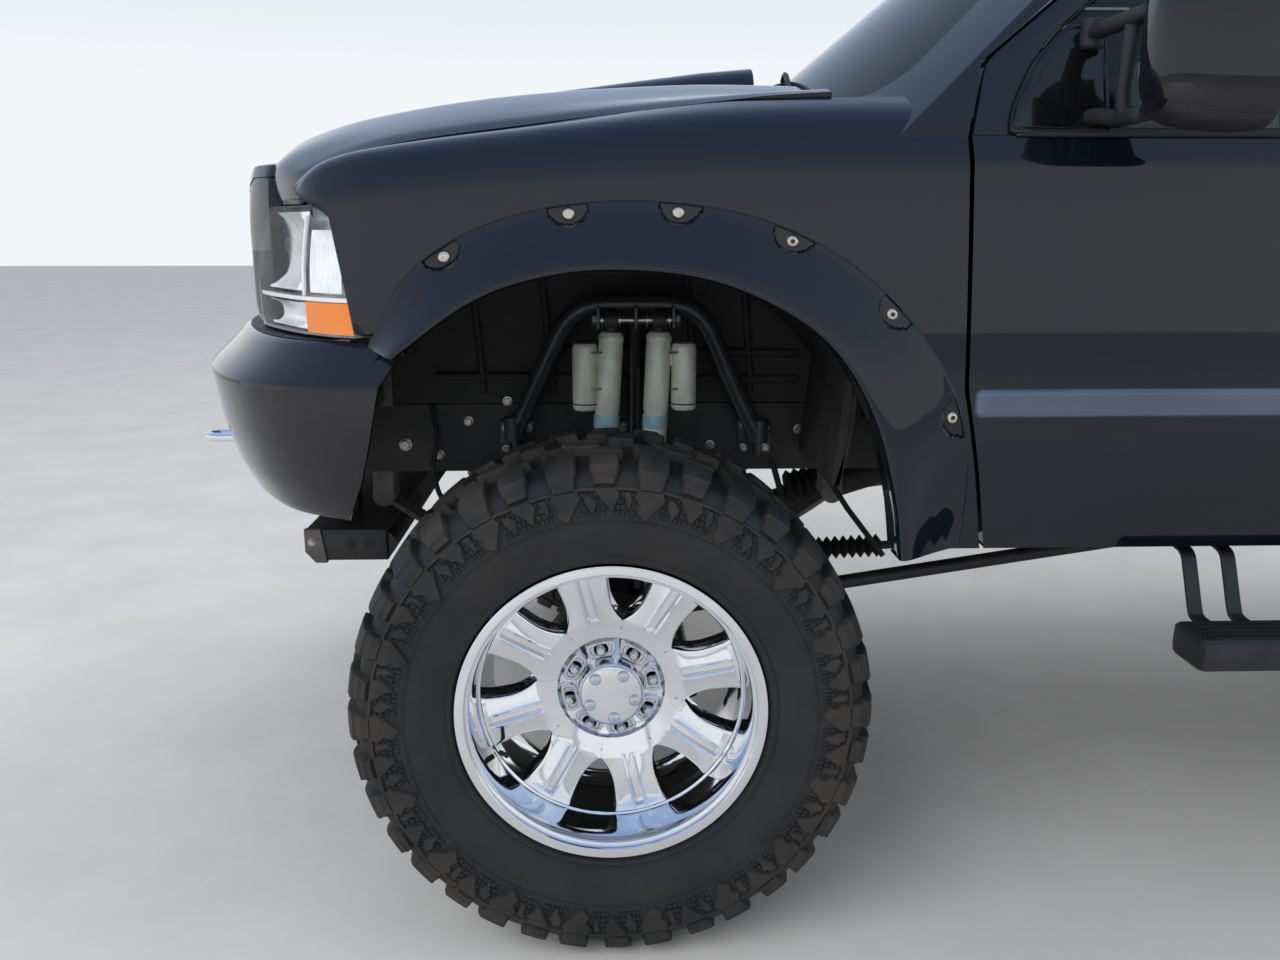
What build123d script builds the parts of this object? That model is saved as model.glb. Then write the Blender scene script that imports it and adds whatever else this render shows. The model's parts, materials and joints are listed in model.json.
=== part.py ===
from build123d import *
import math
import os

os.makedirs("parts", exist_ok=True)

# A lifted full-size sport utility vehicle. Millimetres, +X forward, +Y to its left, +Z up.
# The origin is on the ground under the middle of the vehicle's length and width.

# Driving dimensions of the whole vehicle
overall_length = 5750.0
front_overhang = 965.0
wheelbase = 3482.0
front_x = overall_length / 2 - front_overhang
rear_x = front_x - wheelbase
tail_x = -overall_length / 2

# Wheels and tyres: a 40 inch tyre on a 22 by 12 inch rim
tyre_radius = 505.0
wheel_y = 924.0
lip_radius = 297.0
lip_half = 165.0
bead_radius = 276.0
hub_face_y = 880.0
lug_circle = 85.0
lug_count = 8
spoke_turn = 31.5
axle_z = tyre_radius
king_y = 740.0

# Body heights and half widths, from sill to roof
sill_z = 785.0
wide_z = 1090.0
crease_z = 1520.0
belt_z = 1562.0
eave_z = 2110.0
roof_z = 2235.0
sill_y = 940.0
wide_y = 1000.0
crease_y = 984.0
belt_y = 966.0
eave_y = 812.0

# Panels and clearances
wall = 60.0
moulding_out = 12.0
roof_wall = 45.0
skin = 22.0
door_gap = 8.0
glass = 6.0
seat = 0.4
floor_z = 1010.0
floor_top = 1045.0

# Side-view stations, measured from the front axle
pillar_b = front_x - 1744
door_rear = front_x - 2716
door_top = 2095.0
firewall_x = front_x - 520

# Windshield: a cylinder leaning back
rake = 39.3
glass_foot = (front_x - 406, 1731)
glass_bow = 2400.0

# Ladder frame
rail_y0 = 370.0
rail_y1 = 445.0
rail_z0 = 840.0
rail_z1 = 1000.0

# Wheel arches and flares
arch_radius = 575.0
arch_z = 776.0
flare_y = 1050.0
flare_bevel = 14.0
apron_y = 452.0


def save(part, name):
    """Writes one finished piece under its node's name."""
    part.label = name
    export_step(part, f"parts/{name}.step")


def ahead(points, axle=front_x):
    """Turns distances ahead of an axle into X positions."""
    return [(axle + a, z) for a, z in points]


def block(x0, x1, y0, y1, z0, z1):
    """A loose box between two corners."""
    centre = Pos((x0 + x1) / 2, (y0 + y1) / 2, (z0 + z1) / 2)
    return centre * Box(abs(x1 - x0), abs(y1 - y0), abs(z1 - z0), mode=Mode.PRIVATE)


def rod(start, end, radius):
    """A loose round bar between two points."""
    axis = Vector(*end) - Vector(*start)
    with BuildPart(Plane(origin=start, z_dir=axis), mode=Mode.PRIVATE) as made:
        Cylinder(radius, axis.length, align=(Align.CENTER, Align.CENTER, Align.MIN))
    return made.part


def disc(y0, y1, radius, x, z):
    """A loose disc whose axis runs across the vehicle."""
    return rod((x, y0, z), (x, y1, z), radius)


def prism(points, y0, y1, radius=0.0, gap=0.0):
    """A loose solid with a side-view outline of (x, z) corners less a gap, from y0 to y1."""
    with BuildPart(mode=Mode.PRIVATE) as made:
        with BuildSketch(Plane.XZ.offset(-y0)) as outline:
            Polygon(*points, align=None)
            if radius:
                fillet(outline.vertices(), radius)
            if gap:
                offset(amount=-gap, mode=Mode.REPLACE)
        extrude(amount=-(y1 - y0))
    return made.part


def plan(points, z0, z1, radius=0.0):
    """A loose solid with a top-view outline of (x, y) corners, from z0 to z1."""
    with BuildPart(mode=Mode.PRIVATE) as made:
        with BuildSketch(Plane.XY.offset(z0)) as outline:
            Polygon(*points, align=None)
            if radius:
                fillet(outline.vertices(), radius)
        extrude(amount=z1 - z0)
    return made.part


def front_prism(points, x0, x1, radius=0.0, gap=0.0):
    """A loose solid with a front-view outline of (y, z) corners less a gap, from x0 to x1."""
    with BuildPart(mode=Mode.PRIVATE) as made:
        with BuildSketch(Plane.YZ.offset(x0)) as outline:
            Polygon(*points, align=None)
            if radius:
                fillet(outline.vertices(), radius)
            if gap:
                offset(amount=-gap, mode=Mode.REPLACE)
        extrude(amount=x1 - x0)
    return made.part


def tube_path(points, radius, bend):
    """A loose round tube along corners rounded by bend."""
    with BuildPart(mode=Mode.PRIVATE) as made:
        with BuildLine() as line:
            FilletPolyline(*points, radius=bend)
        with BuildSketch(Plane(origin=line.line @ 0, z_dir=line.line % 0)):
            Circle(radius)
        sweep(path=line.line)
    return made.part


# The body's outer shape

def side_line(inset, drop=0.0):
    """The cross-section's outer line from sill to belt, moved inboard by inset."""
    ThreePointArc((sill_y - inset, sill_z), (982 - inset, 945), (wide_y - inset, wide_z))
    ThreePointArc((wide_y - inset, wide_z), (996 - inset, 1310), (crease_y - inset, crease_z - drop))
    Line((crease_y - inset, crease_z - drop), (belt_y - inset, belt_z - drop))


def side_wall(inset, thickness, x0, x1):
    """A loose curved wall that follows the body's left side, from x0 to x1."""
    with BuildPart(mode=Mode.PRIVATE) as made:
        with BuildSketch(Plane.YZ.offset(x0)):
            with BuildLine():
                for k in (inset, inset + thickness):
                    side_line(k)
                    Line((belt_y - k, belt_z), (eave_y - k, eave_z))
                Line((sill_y - inset, sill_z), (sill_y - inset - thickness, sill_z))
                Line((eave_y - inset, eave_z), (eave_y - inset - thickness, eave_z))
            make_face()
        extrude(amount=x1 - x0)
    return made.part


def windshield_volume(inset):
    """Everything behind the windshield's outer face, moved inward by inset."""
    slope = math.radians(rake)
    along = Vector(-math.cos(slope), 0, math.sin(slope))
    out = Vector(math.sin(slope), 0, math.cos(slope))
    foot = Vector(glass_foot[0], 0, glass_foot[1]) - along * 900 - out * (glass_bow + inset)
    with BuildPart(Plane(origin=foot, x_dir=out, z_dir=along), mode=Mode.PRIVATE) as made:
        Cylinder(glass_bow, 2600, align=(Align.CENTER, Align.CENTER, Align.MIN))
    return made.part


def roof_volume(inset):
    """The loose solid under the roof from the belt up, cut by windshield and tail."""
    top = roof_z - inset
    with BuildPart(mode=Mode.PRIVATE) as made:
        with BuildSketch(Plane.YZ.offset(tail_x)):
            with BuildLine():
                for s in (1, -1):
                    Line((s * (belt_y - inset), belt_z), (s * (eave_y - inset), eave_z - inset / 5))
                    ThreePointArc((s * (eave_y - inset), eave_z - inset / 5),
                                  (s * (776 - inset), 2163 - inset * 0.7), (s * (692 - inset), top - 40))
                    ThreePointArc((s * (692 - inset), top - 40), (s * 350, top - 10), (0, top))
                Line((belt_y - inset, belt_z), (inset - belt_y, belt_z))
            make_face()
        extrude(amount=overall_length)
    side = prism([(tail_x + 105 + inset, belt_z), (tail_x + 220 + inset, 2180), (tail_x + 320, roof_z),
                  (front_x, roof_z), (front_x, belt_z)], -1100, 1100)
    crown = prism([(tail_x + 105, belt_z), (tail_x + 105, 2170 - inset), (rear_x + 1100, roof_z - inset),
                   (front_x - 1900, roof_z - inset), (front_x - 500, 2120 - inset),
                   (front_x, belt_z)], -1100, 1100)
    nose = block(front_x - 1300, front_x + 10, -1100, 1100, 1500, 2400) - windshield_volume(inset)
    return (made.part & side & crown) - nose


def fender_volume(inset):
    """The loose solid inside a left front fender's outer face, moved inboard by inset."""
    table = [(-745, 0, 0, 1644), (-174, 0, 0, 1628), (176, 4, 20, 1585), (434, 25, 45, 1549),
             (530, 50, 60, 1520),
             (590, 84, 100, 1475)]
    with BuildPart(mode=Mode.PRIVATE) as made:
        for a, narrow, drop, seam_z in table:
            k = inset + narrow
            with BuildSketch(Plane.YZ.offset(front_x + a)):
                with BuildLine():
                    side_line(k, drop)
                    Polyline((belt_y - k, belt_z - drop), (868 - narrow * 0.6, seam_z - inset),
                             (700, seam_z - inset), (700, sill_z), (sill_y - k, sill_z))
                make_face()
        loft(ruled=True)
    return made.part


# Body panels

def body_side():
    """The left wall behind the rear door, with its wheel arch and quarter window cut."""
    panel = side_wall(0, wall, tail_x + 105, door_rear - 4)
    top = door_top + 8 - seat
    lean = prism([(tail_x + 125, sill_z), (tail_x + 105, belt_z), (tail_x + 205, top),
                  (door_rear, top), (door_rear, sill_z)], 0, 1100)
    back = prism([(tail_x + 125, sill_z), (tail_x + 105, belt_z), (tail_x + 205, top),
                  (tail_x + 250, top), (tail_x + 150, belt_z), (tail_x + 170, sill_z)], 700, 1100)
    inside = front_prism([(700, sill_z), (sill_y - 20, sill_z), (wide_y - 20, wide_z),
                          (crease_y - 20, crease_z),
                          (eave_y - 20, top), (700, top)], tail_x, tail_x + 300)
    panel = (panel & lean) + (back & inside) - disc(800, 1100, arch_radius, rear_x, arch_z)
    panel -= block(tail_x, tail_x + 255, 600, 1100, 0, 1020)
    return panel - prism(ahead(quarter_window), 700, 1100, 30)


front_door = [(-739, sill_z), (-703, 955), (-668, 1110), (-655, 1560), (-684, 1700),
              (-1166, door_top), (-1740, door_top), (-1740, sill_z)]
front_window = [(-738, 1567), (-738, 1632), (-800, 1742), (-1190, 2060), (-1672, 2060), (-1672, 1567)]
rear_door = [(-1748, sill_z), (-1748, door_top), (-2712, door_top), (-2712, 1400), (-2712, sill_z)]
rear_window = [(-1816, 1567), (-1816, 2060), (-2650, 2060), (-2650, 1567)]
quarter_window = [(-2790, 1567), (-2790, 2060), (-4480, 2060), (-4560, 1567)]
windshield_view = [(-815, 1655), (-628, 2170), (628, 2170), (815, 1655)]

upper_shell = roof_volume(0) - roof_volume(roof_wall)
windshield_hole = front_prism(windshield_view, front_x - 1500, front_x, 50)

with BuildPart() as roof_panel:
    add(upper_shell)
    add(block(tail_x, front_x - 1161, -1100, 1100, 1500, door_top + 8), mode=Mode.SUBTRACT)
    add(prism(ahead([(-1161, 1500), (-1161, door_top + 8), (-676, 1698), (-647, 1560), (-647, 1500)]),
              -1100, 1100), mode=Mode.SUBTRACT)
    add(block(front_x - 700, front_x, -868, 868, 1500, 1640 + seat), mode=Mode.SUBTRACT)
    add(fender_volume(-seat), mode=Mode.SUBTRACT)
    add(mirror(fender_volume(-seat), about=Plane.XZ, mode=Mode.PRIVATE), mode=Mode.SUBTRACT)
    add(windshield_hole, mode=Mode.SUBTRACT)
    add(block(tail_x, tail_x + 330, -700, 700, 1500, 2140), mode=Mode.SUBTRACT)
save(roof_panel.part, "roof_panel")

with BuildPart() as body_side_left:
    add(body_side())
    add(side_wall(wall + 8, 40, pillar_b - 45, pillar_b + 45) - block(0, 400, 0, 1100, 700,
            floor_top + seat))
save(body_side_left.part, "body_side_left")

with BuildPart() as body_side_right:
    add(mirror(body_side_left.part, about=Plane.XZ, mode=Mode.PRIVATE))
save(body_side_right.part, "body_side_right")

with BuildPart() as floor_pan:
    add(plan([(firewall_x - seat, 700), (front_x - 640, 860), (front_x - 2860, 860), (front_x - 2860, 700),
              (front_x - 4110, 700), (front_x - 4110, 860), (tail_x + 260, 860), (tail_x + 260, -860),
              (front_x - 4110, -860), (front_x - 4110, -700), (front_x - 2860, -700),
              (front_x - 2860, -860),
              (front_x - 640, -860), (firewall_x - seat, -700)], floor_z, floor_top))
    add(block(front_x - 2860, front_x - 745, 800, 868, 790, floor_z))
    add(block(tail_x + 260, front_x - 4120, 800, 868, 790, floor_z))
    add(block(pillar_b - 45, pillar_b + 45, 850, 922, floor_z, floor_top))
    mirror(about=Plane.XZ)
save(floor_pan.part, "floor_pan")

with BuildPart() as cowl:
    add(block(firewall_x, firewall_x + 20, -780, 780, floor_z, 1600))
    for s in (1, -1):
        add(block(front_x - 640, firewall_x, s * 700, s * 860, floor_top + seat, 1600))
        add(block(front_x - 640, front_x - 600, s * 700, s * 925, floor_top + seat, 1560))
    add(plan([(front_x - 640, 860), (front_x - 424, 860), (front_x - 400, 600), (front_x - 352, 300),
              (front_x - 352, -300), (front_x - 400, -600), (front_x - 424, -860), (front_x - 640, -860)],
             1600, 1640))
save(cowl.part, "cowl")


# Doors, hood and liftgate, each as thick as its wall

def moulding(x0, x1):
    """A loose protective strip that stands out of the left side."""
    return side_wall(-moulding_out, moulding_out + 4, x0, x1) & block(x0, x1, 900, 1100, 1058, 1111)


def door(outline, window, handle_x):
    """A left-hand door with its window hole, moulding and pull handle."""
    x0, x1 = min(x for x, z in outline), max(x for x, z in outline)
    panel = side_wall(0, wall, x0, x1) & prism(outline, 700, 1100)
    panel -= prism(window, 700, 1100, 30)
    panel += moulding(x0 + 12, x1 - 26)
    handle = prism([(handle_x - 92, 1462), (handle_x - 84, 1492), (handle_x + 88, 1492),
                    (handle_x + 92, 1468)],
                   980, 1022, 6)
    return panel + handle - block(handle_x - 70, handle_x + 70, 988, 1008, 1455, 1500)


def door_pane(window, inset):
    """The loose glass of a left-hand side window, set inside its hole."""
    x0, x1 = min(x for x, z in window), max(x for x, z in window)
    return side_wall(inset, glass, x0, x1) & prism(window, 700, 1100, 30, seat)


hinge_rows = (1160, 1460)
with BuildPart() as door_front_left:
    add(door(ahead(front_door), ahead(front_window), front_x - 1620))
    for z in hinge_rows:
        add(block(front_x - 730, front_x - 640 - seat, 880, 938, z - 30, z + 30))
save(door_front_left.part, "door_front_left")

with BuildPart() as door_front_right:
    add(mirror(door_front_left.part, about=Plane.XZ, mode=Mode.PRIVATE))
save(door_front_right.part, "door_front_right")

with BuildPart() as door_rear_left:
    add(door(ahead(rear_door), ahead(rear_window), front_x - 2590))
    for z in hinge_rows:
        add(side_wall(wall - 2, door_gap + 2 - seat, front_x - 1784, front_x - 1754)
            & block(0, 400, 0, 1100, z - 30, z + 30))
    add(disc(800, 1100, arch_radius, rear_x, arch_z), mode=Mode.SUBTRACT)
save(door_rear_left.part, "door_rear_left")

with BuildPart() as door_rear_right:
    add(mirror(door_rear_left.part, about=Plane.XZ, mode=Mode.PRIVATE))
save(door_rear_right.part, "door_rear_right")

panes = [("front_door_glass", front_window), ("rear_door_glass", rear_window)]
for pane_name, outline in panes:
    for side, name in ((1, "left"), (-1, "right")):
        with BuildPart() as pane:
            sheet = door_pane(ahead(outline), 24)
            add(sheet if side > 0 else mirror(sheet, about=Plane.XZ, mode=Mode.PRIVATE))
        save(pane.part, f"{pane_name}_{name}")

with BuildPart() as fixed_glass:
    add(windshield_volume(8) & front_prism(windshield_view, front_x - 1500, front_x, 50, seat))
    add(windshield_volume(8 + glass), mode=Mode.SUBTRACT)
    add(door_pane(ahead(quarter_window), 20))
    add(mirror(door_pane(ahead(quarter_window), 20), about=Plane.XZ, mode=Mode.PRIVATE))
save(fixed_glass.part, "fixed_glass")


def hood_sections(drop):
    """Stations ahead of the axle with their edge, shoulder, ridge and centre heights."""
    table = [(-424, 862, 1652, 1690, 1704), (-174, 862, 1629, 1694, 1700), (176, 862, 1587, 1672, 1682),
             (434, 858, 1550, 1636, 1652), (597, 820, 1492, 1600, 1622), (736, 640, 1470, 1568, 1584)]
    with BuildPart(mode=Mode.PRIVATE) as made:
        for a, edge_y, edge, ridge, middle in table:
            with BuildSketch(Plane.YZ.offset(front_x + a)):
                with BuildLine():
                    Polyline((-edge_y + drop, 1420), (-edge_y + drop, edge - drop),
                             (-edge_y + 130, ridge - 18 - drop), (-edge_y + 250, ridge - drop),
                             (0, middle - drop),
                             (edge_y - 250, ridge - drop), (edge_y - 130, ridge - 18 - drop),
                             (edge_y - drop, edge - drop), (edge_y - drop, 1420), (-edge_y + drop, 1420))
                make_face()
        loft(ruled=True)
    return made.part


hood_plan = [(-416, 868), (-392, 600), (-344, 300), (-344, -300), (-392, -600), (-416, -868), (560, -868),
             (660, -760), (726, -600), (740, -300), (740, 300), (726, 600), (660, 760), (560, 868)]
with BuildPart() as hood:
    add(hood_sections(0))
    add(hood_sections(skin), mode=Mode.SUBTRACT)
    add(plan([(front_x + a, y) for a, y in hood_plan], 1400, 1800), mode=Mode.INTERSECT)
    add(block(front_x - 500, front_x + 800, -900, 900, 1300, 1462), mode=Mode.SUBTRACT)
    add(block(front_x + 640, front_x + 800, -626, 626, 1300, 1546), mode=Mode.SUBTRACT)
    add(prism(ahead([(-424, 1300), (-424, 1618), (-174, 1595), (176, 1552), (434, 1516), (597, 1462),
                     (597, 1300)]),
              -900, 900), mode=Mode.SUBTRACT)
    for s in (1, -1):
        add(block(front_x - 424, front_x - 394, s * 740, s * 790, 1640 + seat, 1664))
    add(prism(ahead([(455, 1640), (440, 1676), (-200, 1760), (-340, 1774), (-344, 1690)]), -330, 330))
    add(prism(ahead([(400, 1622), (400, 1650), (-200, 1735), (-360, 1750), (-360, 1620)]), -300, 300),
        mode=Mode.SUBTRACT)
save(hood.part, "hood")


fender_side = [(-652 + 5, 1700), (-647, 1560), (-660, 1110), (-695, 955), (-731, sill_z), (380, sill_z),
               (380, 1196), (463, 1196), (465, 1203), (507, 1427), (575, 1462), (592, 1480), (592, 1700)]
with BuildPart() as front_fenders:
    add(fender_volume(0))
    add(fender_volume(skin), mode=Mode.SUBTRACT)
    add(block(front_x - 1000, front_x + 800, 600, 868, 1440, 3000), mode=Mode.SUBTRACT)
    add(fender_volume(0) & block(firewall_x + 20 + seat, front_x + 455, 700, 1100, 1428, 1440))
    add(block(front_x - 1000, front_x + 800, 600, 868, 700, 1428), mode=Mode.SUBTRACT)
    add(prism(ahead(fender_side), 600, 1100), mode=Mode.INTERSECT)
    add(disc(700, 1100, arch_radius, front_x, arch_z), mode=Mode.SUBTRACT)
    add(block(firewall_x + 20 + seat, front_x + 455, apron_y, 705, 1428, 1440))
    mirror(about=Plane.XZ)
save(front_fenders.part, "front_fenders")


# Wheel-arch flares

def flare(forward, backward, axle):
    """A loose left-hand flare between an outer outline and the arch, with a bevelled rim."""
    with BuildPart(mode=Mode.PRIVATE) as made:
        with BuildSketch(Plane.XZ.offset(-930)) as outline:
            with BuildLine():
                for side, points in ((1, forward), (-1, backward)):
                    ends = [(axle + side * a, z) for a, z in points]
                    ThreePointArc(ends[0], ends[1], ends[2])
                    ThreePointArc(ends[2], ends[3], ends[4])
                    Line(ends[4], ends[5])
                    Line(ends[5], ends[6])
                first = forward[6]
                last = backward[6]
                ThreePointArc((axle + first[0], first[1]), (axle, arch_z + 560), (axle - last[0], last[1]))
            make_face()
        extrude(amount=-(flare_y - flare_bevel - 930))
        with BuildSketch(Plane.XZ.offset(-(flare_y - flare_bevel))):
            add(outline.sketch)
        extrude(amount=-flare_bevel, taper=35)
    return made.part


short_side = [(-56, 1452), (121, 1438), (264, 1391), (373, 1313), (436, 1206), (441, 1190), (392, 1176)]
long_side = [(56, 1452), (235, 1431), (380, 1382), (543, 1252), (653, 1091), (688, 790), (560, 790)]
rear_half = [(0, 1452), *long_side[1:]]
with BuildPart() as fender_flares:
    add(flare(short_side, long_side, front_x))
    add(fender_volume(-seat), mode=Mode.SUBTRACT)
    add(flare(rear_half, rear_half, rear_x) - side_wall(-seat, 300, rear_x - 900, rear_x + 900))
    mirror(about=Plane.XZ)
save(fender_flares.part, "fender_flares")


# Nose: grille, headlamps, bumpers, beam

with BuildPart() as grille:
    add(front_prism([(-621.6, 1196), (-621.6, 1500), (-560, 1542), (560, 1542), (621.6, 1500),
                     (621.6, 1196)],
                    front_x + 700, front_x + 742 - seat, 30))
    add(front_prism([(-600, 1212), (-600, 1494), (-552, 1524), (552, 1524), (600, 1494), (600, 1212)],
                    front_x + 742 - seat, front_x + 790, 30))
    add(block(front_x + 725, front_x + 800, -560, 560, 1245, 1490), mode=Mode.SUBTRACT)
    for z in (1290, 1368, 1446):
        add(block(front_x + 735, front_x + 785, -562, 562, z - 16, z + 16))
    for y in (-280, 0, 280):
        add(block(front_x + 735, front_x + 780, y - 9, y + 9, 1243, 1492))
save(grille.part, "grille")

with BuildPart() as headlamps:
    with BuildSketch(Plane.XY.offset(1204)):
        with BuildLine():
            ThreePointArc((front_x + 467, 962), (front_x + 632, 812), (front_x + 738, 622))
            Line((front_x + 738, 622), (front_x + 650, 622))
            ThreePointArc((front_x + 650, 622), (front_x + 570, 770), (front_x + 467, 880))
            Line((front_x + 467, 880), (front_x + 467, 962))
        make_face()
    extrude(amount=250)
    add(prism(ahead([(465.6, 1204), (507.6, 1425), (560, 1447), (600, 1450), (740, 1440),
                     (740, 1204)]), 600, 1000),
        mode=Mode.INTERSECT)
    mirror(about=Plane.XZ)
save(headlamps.part, "headlamps")

bumper_plan = [(390, 990), (640, 930), (800, 740), (925, 390), (965, 0)]


def bumper_volume(inset):
    """The loose solid inside the front bumper's outer faces, moved in by inset."""
    with BuildPart(mode=Mode.PRIVATE) as made:
        for z, k in ((848 + inset * 0.6, 70), (1010, 12), (1117, 0), (1190 - inset * 0.6, 75)):
            with BuildSketch(Plane.XY.offset(z)):
                with BuildLine():
                    for s in (1, -1):
                        ends = [(front_x + a - k - inset, s * (y - (k + inset) * 0.35 * (y > 0)))
                                for a, y in bumper_plan]
                        ThreePointArc(ends[0], ends[1], ends[2])
                        ThreePointArc(ends[2], ends[3], ends[4])
                    Line((front_x + 390 - k - inset, 990 - (k + inset) * 0.35),
                         (front_x + 390 - k - inset, -990 + (k + inset) * 0.35))
                make_face()
        loft(ruled=True)
    return made.part


bumper_end = [(390, 1200), (390, 1166), (425, 1117), (455, 1000), (480, 900), (512, 840), (980, 840),
              (980, 1200)]
with BuildPart() as front_bumper:
    add(bumper_volume(0))
    add(bumper_volume(26), mode=Mode.SUBTRACT)
    add(prism(ahead(bumper_end), -1000, 1000), mode=Mode.INTERSECT)
    add(block(front_x + 300, front_x + 725, -935, 935, 1155, 1200), mode=Mode.SUBTRACT)
    add(block(front_x + 300, front_x + 700, -875, 875, 840, 872), mode=Mode.SUBTRACT)
    add(front_prism([(-330, 890), (-360, 985), (360, 985), (330, 890)], front_x + 700, front_x + 1000, 20),
        mode=Mode.SUBTRACT)
    add(block(front_x + 690 + seat, front_x + 880, -445, -370, 885, 980))
    add(block(front_x + 690 + seat, front_x + 880, 370, 445, 885, 980))
    for s in (1, -1):
        add(tube_path([(front_x + 780, s * 425, 930), (front_x + 938, s * 425, 930),
                       (front_x + 938, s * 475, 930),
                       (front_x + 780, s * 475, 930)], 12, 24))
save(front_bumper.part, "front_bumper")

with BuildPart() as blocker_beam:
    add(prism(ahead([(504, 668), (504, 740), (686, 740), (686, 690), (664, 668)]), -600, 600))
    for s in (1, -1):
        add(block(front_x + 600, front_x + 650, s * 380, s * 435, 735, rail_z0 - seat))
save(blocker_beam.part, "blocker_beam")

with BuildPart() as side_steps:
    add(prism(ahead([(-1110, 580), (-1125, 641), (-1110, 650), (-2860, 650), (-2845, 641),
                     (-2860, 580)]), 980, 1108))
    for a in (-1700, -2500):
        add(prism(ahead([(a, 602), (a, 645), (a - 70, 645), (a - 70, 602)]), 470 + seat, 980 - seat))
        add(block(front_x + a - 70, front_x + a, rail_y1 + seat, 470, 602, 980))
    mirror(about=Plane.XZ)
save(side_steps.part, "side_steps")

# Ladder frame

with BuildPart() as frame_ladder:
    for s in (1, -1):
        add(block(tail_x + 160 + seat, front_x + 690, s * rail_y0, s * rail_y1, rail_z0, rail_z1))
        for a in (-900, -1900, -2700, -4350):
            add(rod((front_x + a, s * 408, rail_z1 - 5), (front_x + a, s * 408, floor_z - seat), 34))
    for a in (640, -1620, -2300, -3000, -3950, -4570):
        add(block(front_x + a - 40, front_x + a + 40, -rail_y0 - 5, rail_y0 + 5, 862, 930))
save(frame_ladder.part, "frame_ladder")

hitch_pin = 8.0
with BuildPart() as hitch:
    add(block(tail_x + 20, tail_x + 320, -32, 32, 720, 784))
    add(block(tail_x + 15, tail_x + 350, -25.5, 25.5, 726.5, 777.5), mode=Mode.SUBTRACT)
    add(rod((tail_x + 90, -40, 752), (tail_x + 90, 40, 752), hitch_pin), mode=Mode.SUBTRACT)
    add(block(tail_x + 240, tail_x + 320, -520, -32, 722, 782))
    add(block(tail_x + 240, tail_x + 320, 32, 520, 722, 782))
    for s in (1, -1):
        add(block(tail_x + 240, tail_x + 320, s * (rail_y1 + seat), s * 470, 722, 980))
save(hitch.part, "hitch")

with BuildPart() as rear_bumper:
    add(plan([(tail_x + 90, 985), (tail_x + 20, 930), (tail_x, 600), (tail_x, -600), (tail_x + 20, -930),
              (tail_x + 90, -985), (tail_x + 240, -985), (tail_x + 240, -905), (tail_x + 70, -890),
              (tail_x + 70, 890), (tail_x + 240, 905), (tail_x + 240, 985)], 800, 1010))
    add(block(tail_x + 60, tail_x + 160, -860, 860, 790, 985) - block(tail_x + 71, tail_x + 161, -850,
            850, 700, 960))
    add(front_prism([(-190, 850), (-150, 1020), (150, 1020), (190, 850)], tail_x - 1, tail_x + 40),
        mode=Mode.SUBTRACT)
save(rear_bumper.part, "rear_bumper")

with BuildPart() as tail_lamps:
    add(block(tail_x + 84, tail_x + 130, 745, 940, 1130, 1500) &
        prism([(tail_x + 80, 1130), (tail_x + 80, 1500), (tail_x + 106, 1500),
               (tail_x + 115.6, 1130)], 700, 1000))
    mirror(about=Plane.XZ)
save(tail_lamps.part, "tail_lamps")

# Liftgate over two lower doors

gate_window = [(-600, 1640), (-560, 2060), (560, 2060), (600, 1640)]
with BuildPart() as liftgate:
    add(upper_shell & block(tail_x, tail_x + 330, -692, 692, belt_z + 4, 2132))
    add(front_prism(gate_window, tail_x, tail_x + 400, 50), mode=Mode.SUBTRACT)
    for s in (1, -1):
        add(block(tail_x + 216, tail_x + 246, s * 350, s * 410, 2120, 2140 - seat))
save(liftgate.part, "liftgate")

with BuildPart() as liftgate_glass:
    add((roof_volume(12) - roof_volume(12 + glass)) & block(tail_x, tail_x + 330, -690, 690, 1600, 2100))
    add(front_prism(gate_window, tail_x, tail_x + 400, 50, seat), mode=Mode.INTERSECT)
save(liftgate_glass.part, "liftgate_glass")

barn_side = [(tail_x + 118, 1025), (tail_x + 105, belt_z - 4), (tail_x + 165, belt_z - 4),
             (tail_x + 178, 1025)]
with BuildPart() as barn_door_left:
    add(prism(barn_side, 4, 692))
    for z in hinge_rows:
        add(block(tail_x + 122, tail_x + 152, 685, 700 - seat, z - 30, z + 30))
    add(block(tail_x + 88, tail_x + 112, 20, 170, 1380, 1410))
save(barn_door_left.part, "barn_door_left")

with BuildPart() as barn_door_right:
    add(prism(barn_side, -692, -4))
    for z in hinge_rows:
        add(block(tail_x + 122, tail_x + 152, -700 + seat, -685, z - 30, z + 30))
save(barn_door_right.part, "barn_door_right")

with BuildPart() as roof_rails:
    add(tube_path([(front_x - 1650, 600, 2215), (front_x - 1700, 600, 2270), (front_x - 4300, 600, 2270),
                   (front_x - 4350, 600, 2210)], 16, 30))
    add(block(front_x - 3040, front_x - 2960, 585, 615, 2215, 2262))
    add(roof_volume(-0.5), mode=Mode.SUBTRACT)
    mirror(about=Plane.XZ)
save(roof_rails.part, "roof_rails")


# Axles, springs and steering

with BuildPart() as rear_axle:
    add(rod((rear_x, -800, axle_z), (rear_x, 800, axle_z), 52))
    add(Pos(rear_x, 0, axle_z) * Sphere(165, mode=Mode.PRIVATE))
    add(rod((rear_x + 120, 0, axle_z), (rear_x + 250, 0, axle_z + 10), 60))
    for s in (1, -1):
        add(rod((rear_x, s * 790, axle_z), (rear_x, s * (hub_face_y - seat), axle_z), 150))
        add(block(rear_x - 60, rear_x + 60, s * 362, s * 438, axle_z + 20, 585 - seat))
save(rear_axle.part, "rear_axle")

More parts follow.
